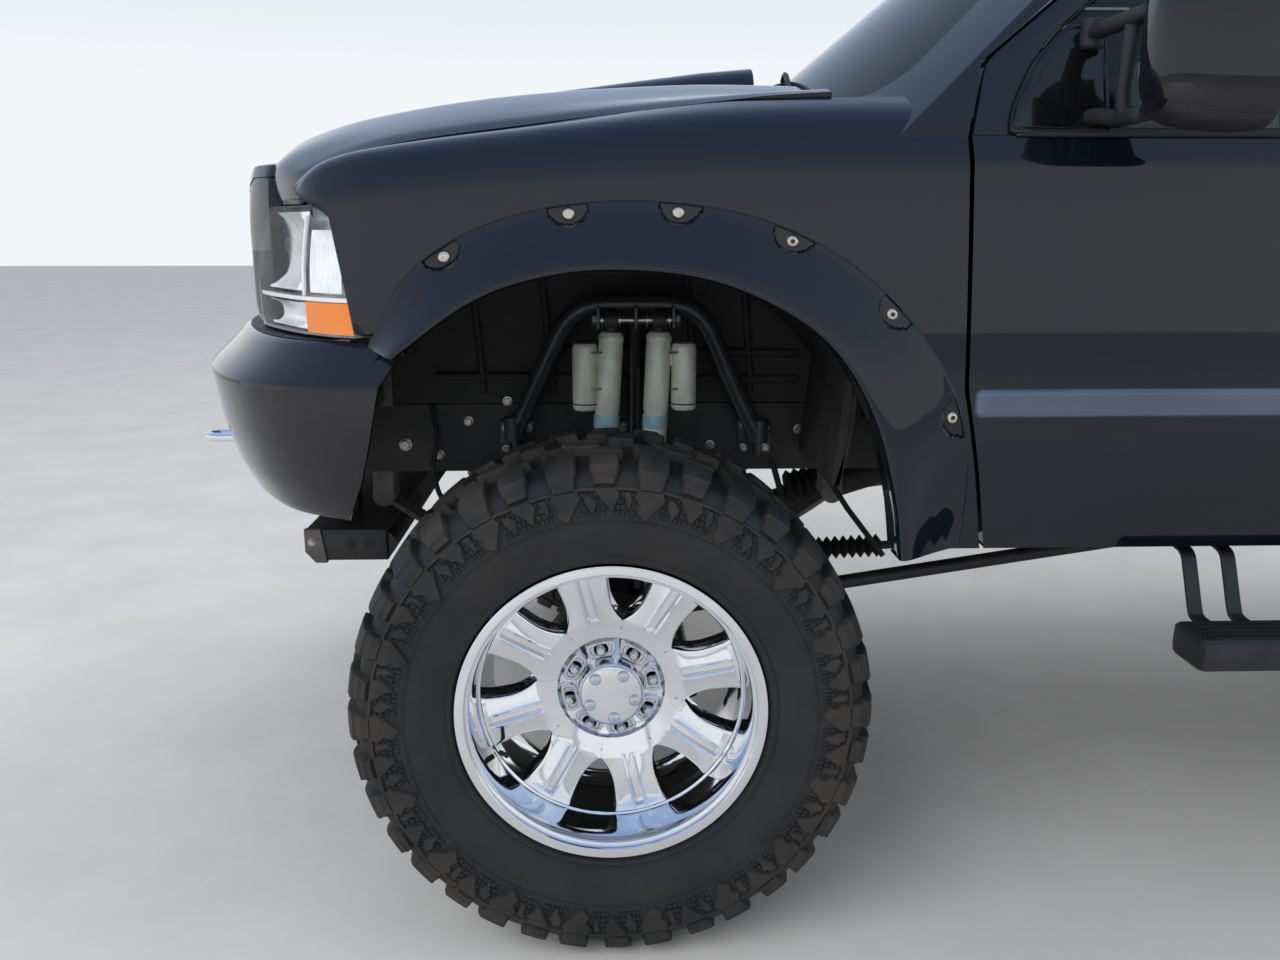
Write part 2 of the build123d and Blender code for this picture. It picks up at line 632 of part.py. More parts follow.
with BuildPart() as front_axle:
    add(rod((front_x, -650, axle_z), (front_x, 650, axle_z), 46))
    add(Pos(front_x, -180, axle_z) * Sphere(150, mode=Mode.PRIVATE))
    add(rod((front_x - 120, -180, axle_z), (front_x - 240, -180, axle_z + 15), 50))
    for s in (1, -1):
        add(block(front_x - 60, front_x + 60, s * 362, s * 438, axle_z + 20, 585 - seat))
        for lo, hi in ((axle_z + 96, axle_z + 132), (axle_z - 132, axle_z - 96)):
            add(block(front_x - 38, front_x + 38, s * 630, s * 772, lo, hi))
        add(block(front_x - 38, front_x + 38, s * 624, s * 656, axle_z - 132, axle_z + 132))
save(front_axle.part, "front_axle")

with BuildPart() as knuckle_left:
    add(block(front_x - 55, front_x + 55, king_y - 34, king_y + 50, axle_z - 96 + seat, axle_z + 96 - seat))
    add(rod((front_x, king_y + 40, axle_z), (front_x, 850, axle_z), 88))
    add(rod((front_x, 800, axle_z), (front_x, hub_face_y - seat, axle_z), 150))
    add(block(front_x - 194, front_x - 50, 720, 760, axle_z - 65, axle_z - 30))
save(knuckle_left.part, "knuckle_left")

with BuildPart() as knuckle_right:
    add(mirror(knuckle_left.part, about=Plane.XZ, mode=Mode.PRIVATE))
save(knuckle_right.part, "knuckle_right")

with BuildPart() as tie_rod:
    add(rod((front_x - 170, -king_y, axle_z - 90), (front_x - 170, king_y, axle_z - 90), 17))
    for s in (1, -1):
        add(rod((front_x - 170, s * king_y, axle_z - 110), (front_x - 170, s * king_y,
                                                            axle_z - 65 - seat), 22))
save(tie_rod.part, "tie_rod")

with BuildPart() as leaf_springs:
    for axle in (front_x, rear_x):
        reach = 540 if axle > 0 else 700
        for sheet, length, z in ((0, reach, 585), (1, reach * 0.8, 598), (2, reach * 0.55, 611)):
            rise = 185 * (length / reach) ** 2
            with BuildSketch(Plane.XZ.offset(-364)):
                with BuildLine():
                    ThreePointArc((axle - length, z + rise), (axle, z), (axle + length, z + rise))
                    ThreePointArc((axle - length, z + rise + 12), (axle, z + 13),
                                  (axle + length, z + rise + 12))
                    Line((axle - length, z + rise), (axle - length, z + rise + 12))
                    Line((axle + length, z + rise), (axle + length, z + rise + 12))
                make_face()
            extrude(amount=-72)
        for end in (reach, -reach):
            add(rod((axle + end, 362, 778), (axle + end, 438, 778), 26))
            add(block(axle + end - 24, axle + end + 24, 366, 436, 780, rail_z0 - seat))
    mirror(about=Plane.XZ)
save(leaf_springs.part, "leaf_springs")

pin_y = 600.0
pin_z = 1208.0
with BuildPart() as shock_hoops:
    for s in (1, -1):
        add(tube_path([(front_x + 216, s * 500, 940), (front_x + 80, s * 570, 1240),
                       (front_x - 200, s * 570, 1240),
                       (front_x - 345, s * 500, 925)], 20, 100))
        add(rod((front_x - 60, s * 568, 1235), (front_x - 60, s * 470, 930), 14))
        for a in (216, -60, -345):
            add(block(front_x + a - 40, front_x + a + 40, s * (rail_y1 + seat), s * 520, 880, 960))
        add(rod((front_x + 30, s * pin_y, pin_z), (front_x - 150, s * pin_y, pin_z), 9))
        for a in (22, -60, -142):
            add(block(front_x + a - 4, front_x + a + 4, s * 565, s * 620, 1190, 1242))
save(shock_hoops.part, "shock_hoops")

# Two shocks a side: top and bottom distance ahead of the axle, and the reservoir's distance
shocks_table = [(-6, 14, 52), (-111, -96, -165)]
with BuildPart() as shocks:
    for top, low, can in shocks_table:
        add(rod((front_x + top, pin_y, 1180), (front_x + low, pin_y, 840), 28))
        add(rod((front_x + top - 15, pin_y, pin_z), (front_x + top + 15, pin_y, pin_z), 22))
        add(rod((front_x + top - 16, pin_y, pin_z), (front_x + top + 16, pin_y, pin_z), 9 + seat),
            mode=Mode.SUBTRACT)
        add(rod((front_x + low, pin_y, 845), (front_x + low, pin_y, 620), 20))
        add(rod((front_x + can, pin_y, 1010), (front_x + can, pin_y, 1158), 28))
        middle = (top + can) / 2
        add(block(front_x + middle - 22, front_x + middle + 22, pin_y - 10, pin_y + 10, 1110, 1134))
    add(block(front_x - 130, front_x + 40, 577, 619, 600, 626))
    add(block(front_x - 30, front_x + 30, 578, 618, 551.4, 601))
    add(rod((rear_x + 150, 500, 965), (rear_x + 70, 500, 575), 30))
    add(block(rear_x + 120, rear_x + 180, rail_y1 + seat, 530, 940, 985))
    add(block(rear_x - 20, rear_x + 100, 480, 520, axle_z + 52 + seat, 590))
    mirror(about=Plane.XZ)
save(shocks.part, "shocks")

with BuildPart() as traction_bars:
    for s in (1, -1):
        add(rod((front_x - 70, s * 450, 480), (front_x - 1560, s * 450, 704), 17))
        add(block(front_x - 100, front_x - 46.5, s * 440, s * 480, 450, 540))
        add(block(front_x - 1620, front_x - 1520, s * (rail_y1 + seat), s * 480, 680, 980))
save(traction_bars.part, "traction_bars")

# Engine and driveline as plain blocks, tank, exhaust

with BuildPart() as powertrain:
    add(block(front_x - 330, front_x + 420, -290, 290, 1060 + seat, 1500))
    add(block(front_x - 330, front_x + 380, -200, 200, 900, 1060))
    for s in (1, -1):
        add(block(front_x - 60, front_x + 60, s * (200 + seat), s * (rail_y0 - seat), 960, 1060))
    add(rod((front_x - 330 - seat, 0, 895), (front_x - 1140, 0, 880), 110))
    add(block(front_x - 1450, front_x - 1140 - seat, -250, 170, 740, 965))
    add(rod((front_x - 1450 - seat, 0, 830), (rear_x + 256, 0, axle_z + 10), 42))
    add(rod((front_x - 1140, -180, 800), (front_x - 249, -180, axle_z + 16), 40))
save(powertrain.part, "powertrain")

with BuildPart() as fuel_tank:
    add(block(front_x - 2900, front_x - 1750, -352, -90, 600, 862 - seat))
    add(block(front_x - 2760, front_x - 2700, -358, -86, 594, 862 - seat))
    add(block(front_x - 1960, front_x - 1900, -358, -86, 594, 862 - seat))
save(fuel_tank.part, "fuel_tank")

with BuildPart() as exhaust:
    add(tube_path([(front_x - 900, 250, 800), (front_x - 1300, 250, 775), (front_x - 2600, 250, 775),
                   (front_x - 2640, 940, 735)], 38, 60))
    add(rod((front_x - 1900, 250, 775), (front_x - 2450, 250, 775), 84))
    add(block(front_x - 2330, front_x - 2270, 225, 275, 840, 862 - seat))
save(exhaust.part, "exhaust")

with BuildPart() as radiator:
    add(block(front_x + 500, front_x + 590, -470, 470, rail_z1 + seat, 1440))
    add(block(front_x + 520, front_x + 600, -600, 600, 1195, 1235))
    for s in (1, -1):
        add(block(front_x + 520, front_x + 560, s * 465, s * 600, 1010, 1440))
        add(block(front_x + 550, front_x + 700 - seat, s * 560, s * 600, 1300, 1340))
save(radiator.part, "radiator")

with BuildPart() as wheel_liners:
    add(block(firewall_x + 20 + seat, front_x + 455, apron_y, apron_y + 12, 1005, 1428 - seat))
    add(prism(ahead([(-499.6, 1200), (-482, 1200), (-449, 893), (-468, 893)]), apron_y + 12, 850))
    add(block(front_x + 455, front_x + 500 - seat, apron_y, apron_y + 12, 1005, 1300))
    for axle in (rear_x,):
        add((disc(700 + seat, 872, arch_radius + 30, axle, arch_z)
             - disc(700, 873, arch_radius + 5, axle, arch_z)
             - block(axle - 900, axle + 900, 600, 1000, 0, 800)))
        add(disc(700 + seat, 712, arch_radius + 20, axle, arch_z) - block(axle - 900, axle + 900, 600,
                1000, 0, floor_top))
    mirror(about=Plane.XZ)
save(wheel_liners.part, "wheel_liners")

# Cabin

with BuildPart() as dashboard:
    add(prism(ahead([(-520.4, 1590), (-520.4, 1300), (-650, 1250), (-650, 1590)]), -690, 690))
    add(prism(ahead([(-640.4, 1590), (-640.4, 1250), (-850, 1270), (-900, 1420), (-860, 1520),
                     (-720, 1592)]), -860, 860))
    add(rod((front_x - 820, 400, 1440.4), (front_x - 980.5, 400, 1489.1), 28))
    add(block(front_x - 1500, front_x - 900, -110, 110, floor_top + seat, 1280))
save(dashboard.part, "dashboard")

wheel_plane = Plane(origin=(front_x - 1000, 400, 1495), x_dir=(0, 1, 0), z_dir=(-0.956, 0, 0.29))
with BuildPart(wheel_plane) as steering_wheel:
    with BuildSketch(Plane(wheel_plane.origin, x_dir=wheel_plane.x_dir, z_dir=wheel_plane.y_dir)):
        with Locations((180, 0)):
            RegularPolygon(15, 8)
    revolve(axis=Axis(wheel_plane.origin, wheel_plane.z_dir))
    Cylinder(48, 40)
    Box(350, 30, 12)
    with Locations((0, -90, 0)):
        Box(28, 170, 12)
save(steering_wheel.part, "steering_wheel")


def seat_set(x, y0, y1):
    """A loose seat: base, cushion, back and headrest, with its hip point about x."""
    base = block(x - 250, x + 250, y0 + 40, y1 - 40, floor_top + seat, 1200)
    cushion = prism([(x - 260, 1190), (x + 270, 1190), (x + 280, 1340), (x - 200, 1310)], y0, y1, 40)
    back = prism([(x - 150, 1280), (x - 290, 1290), (x - 400, 1930), (x - 300, 1940)], y0 + 10, y1 - 10, 35)
    rest = prism([(x - 300, 1920), (x - 395, 1915), (x - 415, 2085), (x - 330, 2090)],
                 (y0 + y1) / 2 - 140, (y0 + y1) / 2 + 140, 30)
    return base + cushion + back + rest


seat_rows = [(-1480, 130, 680), (-2450, 20, 740), (-3350, 20, 640)]
with BuildPart() as seats:
    for a, y0, y1 in seat_rows:
        add(seat_set(front_x + a, y0, y1))
    mirror(about=Plane.XZ)
save(seats.part, "seats")

# Mirrors


# Mirror head stations: distance ahead of the axle, half width, half height, corner cut
mirror_rings = [(-1040, 82, 136, 40), (-1010, 84, 138, 46), (-890, 74, 128, 52), (-852, 44, 96, 40)]


def mirror_head():
    """A loose left mirror head: flat glass side behind, a full rounded shell ahead."""
    with BuildPart(mode=Mode.PRIVATE) as made:
        for a, w, h, cut in mirror_rings:
            with BuildSketch(Plane.YZ.offset(front_x + a)) as ring:
                with Locations((1186, 1692)):
                    Rectangle(2 * w, 2 * h)
                chamfer(ring.vertices(), cut)
        loft(ruled=True)
    return made.part


sail = [(-716, 1566), (-724, 1610), (-765, 1695), (-830, 1764), (-905, 1772), (-905, 1566)]
with BuildPart() as mirror_left:
    add(mirror_head())
    for z in (1595, 1742):
        add(block(front_x - 905, front_x - 870, 940, 1115, z - 14, z + 14))
    add(prism(ahead(sail), 0, 2000) & side_wall(-18, 18 - seat, front_x - 950, front_x - 700))
save(mirror_left.part, "mirror_left")

with BuildPart() as mirror_right:
    add(mirror(mirror_left.part, about=Plane.XZ, mode=Mode.PRIVATE))
save(mirror_right.part, "mirror_right")

# Wheels and tyres

rim_profile = [(-lip_half, lip_radius - 14), (-lip_half, lip_radius), (-lip_half + 20, bead_radius + 2),
               (-60, 236), (40, 236), (90, bead_radius), (lip_half - 20, bead_radius + 2),
               (lip_half, lip_radius),
               (lip_half, lip_radius - 14), (60, 250), (40, 224), (-60, 224), (-110, 255)]


def nut(x, z, y0, y1, radius):
    """A loose six-sided bar whose axis runs across the vehicle."""
    with BuildPart(mode=Mode.PRIVATE) as made:
        with BuildSketch(Plane.XZ.offset(-y0)):
            with Locations((x, z)):
                RegularPolygon(radius, 6)
        extrude(amount=-(y1 - y0))
    return made.part


def rim(axle, y):
    """A loose left-hand rim with eight spokes around its hub, centred on y."""
    with BuildPart(Plane(origin=(axle, y, axle_z), x_dir=(1, 0, 0), z_dir=(0, 1, 0)),
                   mode=Mode.PRIVATE) as made:
        with BuildSketch(Plane(origin=(axle, y, axle_z), x_dir=(1, 0, 0), z_dir=(0, 0, 1))):
            Polygon(*[(r, w) for w, r in rim_profile], align=None)
        revolve(axis=Axis((axle, y, axle_z), (0, 1, 0)))
    face = hub_face_y - wheel_y
    disc_part = rod((axle, y + face, axle_z), (axle, y + face + 70, axle_z), 115)
    disc_part += rod((axle, y + face + 60, axle_z), (axle, y + face + 108, axle_z), 62)
    for k in range(8):
        spoke = prism([(axle + 100, axle_z - 40), (axle + 155, axle_z - 34), (axle + 262, axle_z - 66),
                       (axle + 262, axle_z + 66), (axle + 155, axle_z + 34), (axle + 100, axle_z + 40)],
                      y + face + 30, y + face + 78)
        spoke -= prism([(axle + 126, axle_z - 9), (axle + 236, axle_z - 9), (axle + 236, axle_z + 9),
                        (axle + 126, axle_z + 9)], y + face + 66, y + face + 80)
        disc_part += spoke.rotate(Axis((axle, y, axle_z), (0, -1, 0)), spoke_turn + 45 * k)
    made_part = made.part + disc_part
    for k in range(lug_count):
        angle = math.radians(spoke_turn + 45 * k)
        x, z = axle + lug_circle * math.cos(angle), axle_z + lug_circle * math.sin(angle)
        made_part += nut(x, z, y + face + 60, y + face + 92, 12)
    return made_part


wheels = [("front_left", front_x, 1), ("front_right", front_x, -1), ("rear_left", rear_x, 1),
          ("rear_right", rear_x, -1)]
front_rim = rim(front_x, wheel_y)
for name, axle, side in wheels:
    with BuildPart() as wheel:
        moved = Pos(axle - front_x, 0, 0) * front_rim
        add(moved if side > 0 else mirror(moved, about=Plane.XZ, mode=Mode.PRIVATE))
    save(wheel.part, f"rim_{name}")

# Tyre rings from the inner to the outer side: offset from the tyre's middle, outer radius
tyre_rings = [(-150, 301), (-197, 400), (-186, 460), (-160, 481), (160, 481), (186, 460), (197, 400),
              (150, 301)]
cavity_rings = [(-132, 300), (-168, 400), (-140, 460), (140, 460), (168, 400), (132, 300)]
tyre_sides = 24
lug_plan = [(-65.9, 60), (-20, 12), (30, 60), (65.9, 186), (-30, 186)]
lug_top = 500.68


def ring_loft(rings):
    """A loose many-sided solid through rings given by offset and radius."""
    with BuildPart(mode=Mode.PRIVATE) as made:
        for w, r in rings:
            with BuildSketch(Plane(origin=(front_x, wheel_y + w, axle_z), x_dir=(1, 0, 0),
                                   z_dir=(0, 1, 0))):
                RegularPolygon(r, tyre_sides, major_radius=False, rotation=180 / tyre_sides)
        loft(ruled=True)
    return made.part


def tyre():
    """A loose left front tyre: a hollow carcass with two alternating rows of shoulder lugs."""
    whole = ring_loft(tyre_rings) - ring_loft(cavity_rings)
    whole -= ring_loft([(-142, bead_radius + 2 + seat), (142, bead_radius + 2 + seat)])
    for w in (-1, 1):
        whole -= ring_loft([(w * 142, lip_radius + seat), (w * 160, lip_radius + seat)])
    axis = Axis((front_x, wheel_y, axle_z), (0, 1, 0))
    for side in (1, -1):
        corners = [(front_x + side * u, wheel_y + side * v) for u, v in lug_plan]
        lug = plan(corners, axle_z + 476, axle_z + lug_top)
        for k in range(tyre_sides // 2):
            whole += lug.rotate(axis, 360 / tyre_sides * (2 * k + (0.5 if side > 0 else 1.5)))
    return whole


front_tyre = tyre()
for name, axle, side in wheels:
    with BuildPart() as tyre_part:
        moved = Pos(axle - front_x, 0, 0) * front_tyre
        add(moved if side > 0 else mirror(moved, about=Plane.XZ, mode=Mode.PRIVATE))
    save(tyre_part.part, f"tyre_{name}")
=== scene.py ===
import json
import math
import random

import bmesh
import bpy
from mathutils import Matrix, Vector


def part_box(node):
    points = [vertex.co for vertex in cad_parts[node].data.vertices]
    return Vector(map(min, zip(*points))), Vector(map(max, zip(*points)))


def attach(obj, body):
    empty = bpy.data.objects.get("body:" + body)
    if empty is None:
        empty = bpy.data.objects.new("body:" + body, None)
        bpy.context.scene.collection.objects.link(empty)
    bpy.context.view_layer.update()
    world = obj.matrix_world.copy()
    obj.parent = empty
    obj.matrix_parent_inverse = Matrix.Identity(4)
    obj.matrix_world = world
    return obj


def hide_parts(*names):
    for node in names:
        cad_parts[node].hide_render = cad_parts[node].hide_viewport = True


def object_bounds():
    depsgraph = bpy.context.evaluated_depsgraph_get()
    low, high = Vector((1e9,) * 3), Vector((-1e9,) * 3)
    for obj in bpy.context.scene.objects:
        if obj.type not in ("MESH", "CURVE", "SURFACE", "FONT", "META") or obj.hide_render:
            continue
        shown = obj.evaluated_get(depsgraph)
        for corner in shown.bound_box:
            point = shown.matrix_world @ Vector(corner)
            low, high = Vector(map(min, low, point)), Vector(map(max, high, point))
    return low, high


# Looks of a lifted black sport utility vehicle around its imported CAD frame. Metres, +X forward, +Y left, +Z up.

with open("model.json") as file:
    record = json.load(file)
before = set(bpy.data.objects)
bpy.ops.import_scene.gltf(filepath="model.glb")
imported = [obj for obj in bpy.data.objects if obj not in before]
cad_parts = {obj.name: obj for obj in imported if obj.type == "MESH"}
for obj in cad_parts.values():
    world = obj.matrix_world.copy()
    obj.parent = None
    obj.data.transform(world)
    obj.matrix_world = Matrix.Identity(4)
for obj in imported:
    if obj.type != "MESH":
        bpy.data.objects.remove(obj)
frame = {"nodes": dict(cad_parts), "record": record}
cad_box = [list(c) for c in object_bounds()]


def middle(node):
    """The middle of a CAD node's box."""
    lo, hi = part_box(node)
    return (lo + hi) / 2


# Places read from the frame
front = middle("rim_front_left").x
rear = middle("rim_rear_left").x
hub_z = middle("rim_front_left").z
rim_mid = middle("rim_front_left").y
tyre_r = hub_z
tail = cad_box[0][0]
axle_gap = rear - front

# Most forms are drawn ahead of the front axle, and the tail's forms ahead of the tail, then moved into place
to_front, to_tail = Matrix.Translation((front, 0, 0)), Matrix.Translation((tail, 0, 0))


# Materials

def new_material(name):
    """An empty node material and its Principled shader."""
    mat = bpy.data.materials.new(name)
    mat.use_nodes = True
    return mat, mat.node_tree.nodes["Principled BSDF"]


def add_node(mat, kind, **values):
    """A shader node with some of its inputs or settings given by name."""
    node = mat.node_tree.nodes.new(kind)
    for key, value in values.items():
        if key in node.inputs:
            node.inputs[key].default_value = value
        else:
            setattr(node, key, value)
    return node


def wire(mat, out, into):
    """Links two sockets."""
    mat.node_tree.links.new(out, into)


def preset(shader, values):
    """Sets a shader's inputs by name."""
    for key, value in values.items():
        shader.inputs[key].default_value = value


def noise(mat, scale, detail=4.0, rough=0.55, stretch=(1, 1, 1)):
    """A noise texture in the object's own metres."""
    coords = add_node(mat, "ShaderNodeTexCoord")
    mapping = add_node(mat, "ShaderNodeMapping")
    mapping.inputs["Scale"].default_value = stretch
    tex = add_node(mat, "ShaderNodeTexNoise", Scale=scale, Detail=detail, Roughness=rough)
    wire(mat, coords.outputs["Object"], mapping.inputs["Vector"])
    wire(mat, mapping.outputs["Vector"], tex.inputs["Vector"])
    return tex


def ramp(mat, source, low, high, first, last):
    """A colour ramp from first to last between two positions."""
    node = add_node(mat, "ShaderNodeValToRGB")
    node.color_ramp.elements[0].position = low
    node.color_ramp.elements[1].position = high
    node.color_ramp.elements[0].color = (*first, 1)
    node.color_ramp.elements[1].color = (*last, 1)
    wire(mat, source, node.inputs["Fac"])
    return node


def spread(mat, source, low, high):
    """Maps a 0 to 1 value onto a narrower range."""
    node = add_node(mat, "ShaderNodeMapRange")
    node.inputs["To Min"].default_value = low
    node.inputs["To Max"].default_value = high
    wire(mat, source, node.inputs["Value"])
    return node.outputs["Result"]


def bump(mat, shader, source, strength, distance=0.001):
    """Adds relief from a height to the shader."""
    node = add_node(mat, "ShaderNodeBump", Strength=strength, Distance=distance)
    wire(mat, source, node.inputs["Height"])
    wire(mat, node.outputs["Normal"], shader.inputs["Normal"])


def surface(name, first, last, rough, metallic=0.0, scale=20.0, grain=0.0, grain_scale=400.0, coat=0.0,
            specular=0.5, stretch=(1, 1, 1)):
    """A material whose colour drifts between two tones, with varied roughness and a fine grain."""
    mat, shader = new_material(name)
    cloud = noise(mat, scale, 6.0, 0.6, stretch)
    tone = ramp(mat, cloud.outputs["Fac"], 0.35, 0.7, first, last)
    wire(mat, tone.outputs["Color"], shader.inputs["Base Color"])
    wire(mat, spread(mat, cloud.outputs["Fac"], *rough), shader.inputs["Roughness"])
    preset(shader, {"Metallic": metallic, "Specular IOR Level": specular, "Coat Weight": coat, "Coat Roughness": 0.03})
    if grain:
        bump(mat, shader, noise(mat, grain_scale, 3.0, 0.6, stretch).outputs["Fac"], grain)
    return mat


def dusty(name, first, last, dust, rough, metallic=0.0, grain=0.3, grain_scale=250.0, share=(0.5, 0.75)):
    """A used surface: two tones, with dust lying in clouds."""
    mat, shader = new_material(name)
    cloud = noise(mat, 9.0, 8.0, 0.65)
    tone = ramp(mat, cloud.outputs["Fac"], 0.35, 0.7, first, last)
    dirt = noise(mat, 3.5, 10.0, 0.7)
    mask = ramp(mat, dirt.outputs["Fac"], share[0], share[1], (0, 0, 0), (0.7, 0.7, 0.7))
    mix = add_node(mat, "ShaderNodeMix", data_type="RGBA")
    mix.inputs[7].default_value = (*dust, 1)
    wire(mat, mask.outputs["Color"], mix.inputs[0])
    wire(mat, tone.outputs["Color"], mix.inputs[6])
    wire(mat, mix.outputs[2], shader.inputs["Base Color"])
    wire(mat, spread(mat, dirt.outputs["Fac"], *rough), shader.inputs["Roughness"])
    preset(shader, {"Metallic": metallic})
    bump(mat, shader, noise(mat, grain_scale, 4.0, 0.65).outputs["Fac"], grain)
    return mat


def glass(name, tint, clear, rim=1.0):
    """Glass: see-through straight on by clear, and filled up to rim at a low angle."""
    mat, shader = new_material(name)
    preset(shader, {"Base Color": (*tint, 1), "IOR": 1.5, "Coat Weight": 1.0, "Coat Roughness": 0.02})
    haze = noise(mat, 4.0, 5.0)
    wire(mat, spread(mat, haze.outputs["Fac"], 0.02, 0.06), shader.inputs["Roughness"])
    edge = add_node(mat, "ShaderNodeLayerWeight", Blend=0.35)
    wire(mat, spread(mat, edge.outputs["Fresnel"], 1.0 - clear, rim), shader.inputs["Alpha"])
    return mat


def lens(name, tint, rough, relief, share):
    """Moulded coloured plastic with fine ribs; share of the light passes through."""
    mat, shader = new_material(name)
    preset(shader, {"Base Color": (*tint, 1), "IOR": 1.46, "Transmission Weight": share, "Coat Weight": 1.0 - share})
    haze = noise(mat, 14.0, 5.0)
    wire(mat, spread(mat, haze.outputs["Fac"], rough, rough + 0.05), shader.inputs["Roughness"])
    ribs = add_node(mat, "ShaderNodeTexWave", Scale=160.0, Distortion=0.0)
    wire(mat, add_node(mat, "ShaderNodeTexCoord").outputs["Object"], ribs.inputs["Vector"])
    bump(mat, shader, ribs.outputs["Fac"], relief)
    return mat


paint = surface("body_paint", (0.002, 0.0032, 0.0075), (0.0032, 0.005, 0.011), (0.3, 0.4), scale=3.0, coat=1.0,
                grain=0.01, grain_scale=700.0, specular=0.05)
hoop_grey = surface("hoop_grey", (0.03, 0.032, 0.035), (0.046, 0.048, 0.052), (0.26, 0.4), 0.3, 20.0, 0.1, 300.0)
# The side strip is a black moulding; its grey-blue colour is a painted reflection of the sky.
strip_painted_sky_reflection = surface("strip_painted_sky_reflection", (0.05, 0.07, 0.115), (0.066, 0.09, 0.145), (0.28, 0.38), scale=3.0, coat=1.0,
                      grain=0.01, grain_scale=700.0, specular=0.3)
gloss = surface("gloss_black", (0.003, 0.003, 0.004), (0.006, 0.006, 0.007), (0.3, 0.4), scale=6.0, coat=1.0,
                grain=0.015, grain_scale=600.0, specular=0.05)
trim = surface("black_trim", (0.01, 0.01, 0.011), (0.02, 0.02, 0.021), (0.45, 0.62), scale=18.0, grain=0.35,
               grain_scale=900.0)
seal = surface("rubber_seal", (0.008, 0.008, 0.008), (0.014, 0.014, 0.014), (0.55, 0.75), scale=25.0, grain=0.2,
               grain_scale=500.0)
liner = dusty("arch_liner", (0.01, 0.01, 0.01), (0.022, 0.021, 0.02), (0.055, 0.048, 0.04), (0.6, 0.85))
frame_black = dusty("frame_black", (0.008, 0.008, 0.009), (0.02, 0.019, 0.018), (0.075, 0.062, 0.048), (0.35, 0.7),
                    share=(0.55, 0.8))
cast = dusty("cast_iron", (0.03, 0.029, 0.028), (0.06, 0.056, 0.052), (0.105, 0.08, 0.055), (0.5, 0.8), 0.4, 0.5, 180.0)
steel = surface("zinc_steel", (0.32, 0.31, 0.29), (0.52, 0.51, 0.49), (0.25, 0.42), 1.0, 40.0, 0.15, 300.0)
dark_steel = dusty("dark_steel", (0.09, 0.085, 0.08), (0.17, 0.16, 0.15), (0.13, 0.1, 0.07), (0.4, 0.65), 0.7)
stainless = surface("stainless_bolt", (0.6, 0.54, 0.44), (0.78, 0.74, 0.66), (0.16, 0.3), 1.0, 120.0, 0.05, 900.0)
chrome = surface("polished_rim", (0.8, 0.81, 0.84), (0.9, 0.91, 0.93), (0.035, 0.09), 1.0, 7.0, 0.02, 260.0,
                 stretch=(1, 3, 1))
satin = surface("satin_alloy", (0.6, 0.62, 0.66), (0.74, 0.76, 0.8), (0.16, 0.3), 1.0, 30.0, 0.06, 500.0)
shock = surface("shock_silver", (0.46, 0.48, 0.43), (0.58, 0.6, 0.54), (0.32, 0.5), 0.15, 26.0, 0.12, 300.0)
sleeve = surface("shock_sleeve", (0.18, 0.34, 0.4), (0.26, 0.44, 0.5), (0.35, 0.5), 0.1, 30.0, 0.1, 300.0)
tyre_side = dusty("tyre_rubber", (0.0085, 0.0085, 0.009), (0.016, 0.016, 0.016), (0.03, 0.027, 0.024), (0.5, 0.78),
                  grain=0.25, grain_scale=420.0, share=(0.5, 0.85))
tread = dusty("tread_rubber", (0.01, 0.01, 0.01), (0.021, 0.02, 0.019), (0.07, 0.056, 0.042), (0.55, 0.85),
              grain=0.55, grain_scale=210.0, share=(0.45, 0.75))
crackle = surface("cracked_rubber", (0.008, 0.008, 0.008), (0.015, 0.015, 0.015), (0.6, 0.8), scale=40.0, grain=0.5,
                  grain_scale=260.0)
window = glass("glass_clear", (0.01, 0.013, 0.014), 0.78)
privacy = glass("glass_dark", (0.004, 0.005, 0.006), 0.3)
mirror_face = surface("mirror_glass", (0.75, 0.78, 0.8), (0.82, 0.84, 0.86), (0.01, 0.03), 1.0, 4.0)
clear_lens = glass("lamp_lens", (0.5, 0.51, 0.52), 0.98, rim=0.1)
amber_lens = lens("amber_lens", (1.0, 0.26, 0.002), 0.1, 0.6, 0.1)
red_lens = lens("red_lens", (0.42, 0.01, 0.008), 0.1, 0.6, 0.25)
reflector = surface("reflector", (0.8, 0.82, 0.84), (0.92, 0.93, 0.94), (0.08, 0.2), 0.25, 30.0, 0.25, 120.0)
cabin = surface("cabin_plastic", (0.035, 0.034, 0.032), (0.055, 0.053, 0.05), (0.5, 0.7), scale=12.0, grain=0.5,
                grain_scale=700.0)
headliner = surface("headliner", (0.26, 0.25, 0.23), (0.32, 0.31, 0.29), (0.8, 0.95), scale=20.0, grain=0.4,
                    grain_scale=800.0)
carpet = surface("carpet", (0.02, 0.019, 0.018), (0.045, 0.043, 0.04), (0.85, 1.0), scale=160.0, grain=0.9,
                 grain_scale=600.0)
leather = surface("seat_leather", (0.05, 0.044, 0.038), (0.085, 0.075, 0.064), (0.36, 0.55), scale=14.0, grain=0.45,
                  grain_scale=380.0)
stitch = surface("stitching", (0.16, 0.15, 0.13), (0.24, 0.22, 0.19), (0.6, 0.8), scale=90.0)

slots = {"body_paint": paint, "gloss_black": gloss, "black_trim": trim, "frame_black": frame_black, "cast": cast,
         "steel": dark_steel, "rim_metal": chrome, "tyre": tyre_side, "shock_grey": shock, "glass_clear": window,
         "glass_dark": privacy, "lamp": reflector, "lamp_red": red_lens, "cabin_plastic": cabin, "cloth": leather}
# CAD pieces that show their own surface take the finish of their slot, apart from these three
own_finish = {"wheel_liners": liner, "floor_pan": carpet, "powertrain": cast}
for part in frame["record"]["subparts"]:
    node = frame["nodes"][part["node"]]
    node.data.materials.clear()
    node.data.materials.append(own_finish.get(part["node"], slots[part["material_slot"]]))


# Mesh helpers

def turns(count):
    """Angles of a full turn in even steps."""
    return [2 * math.pi * k / count for k in range(count)]


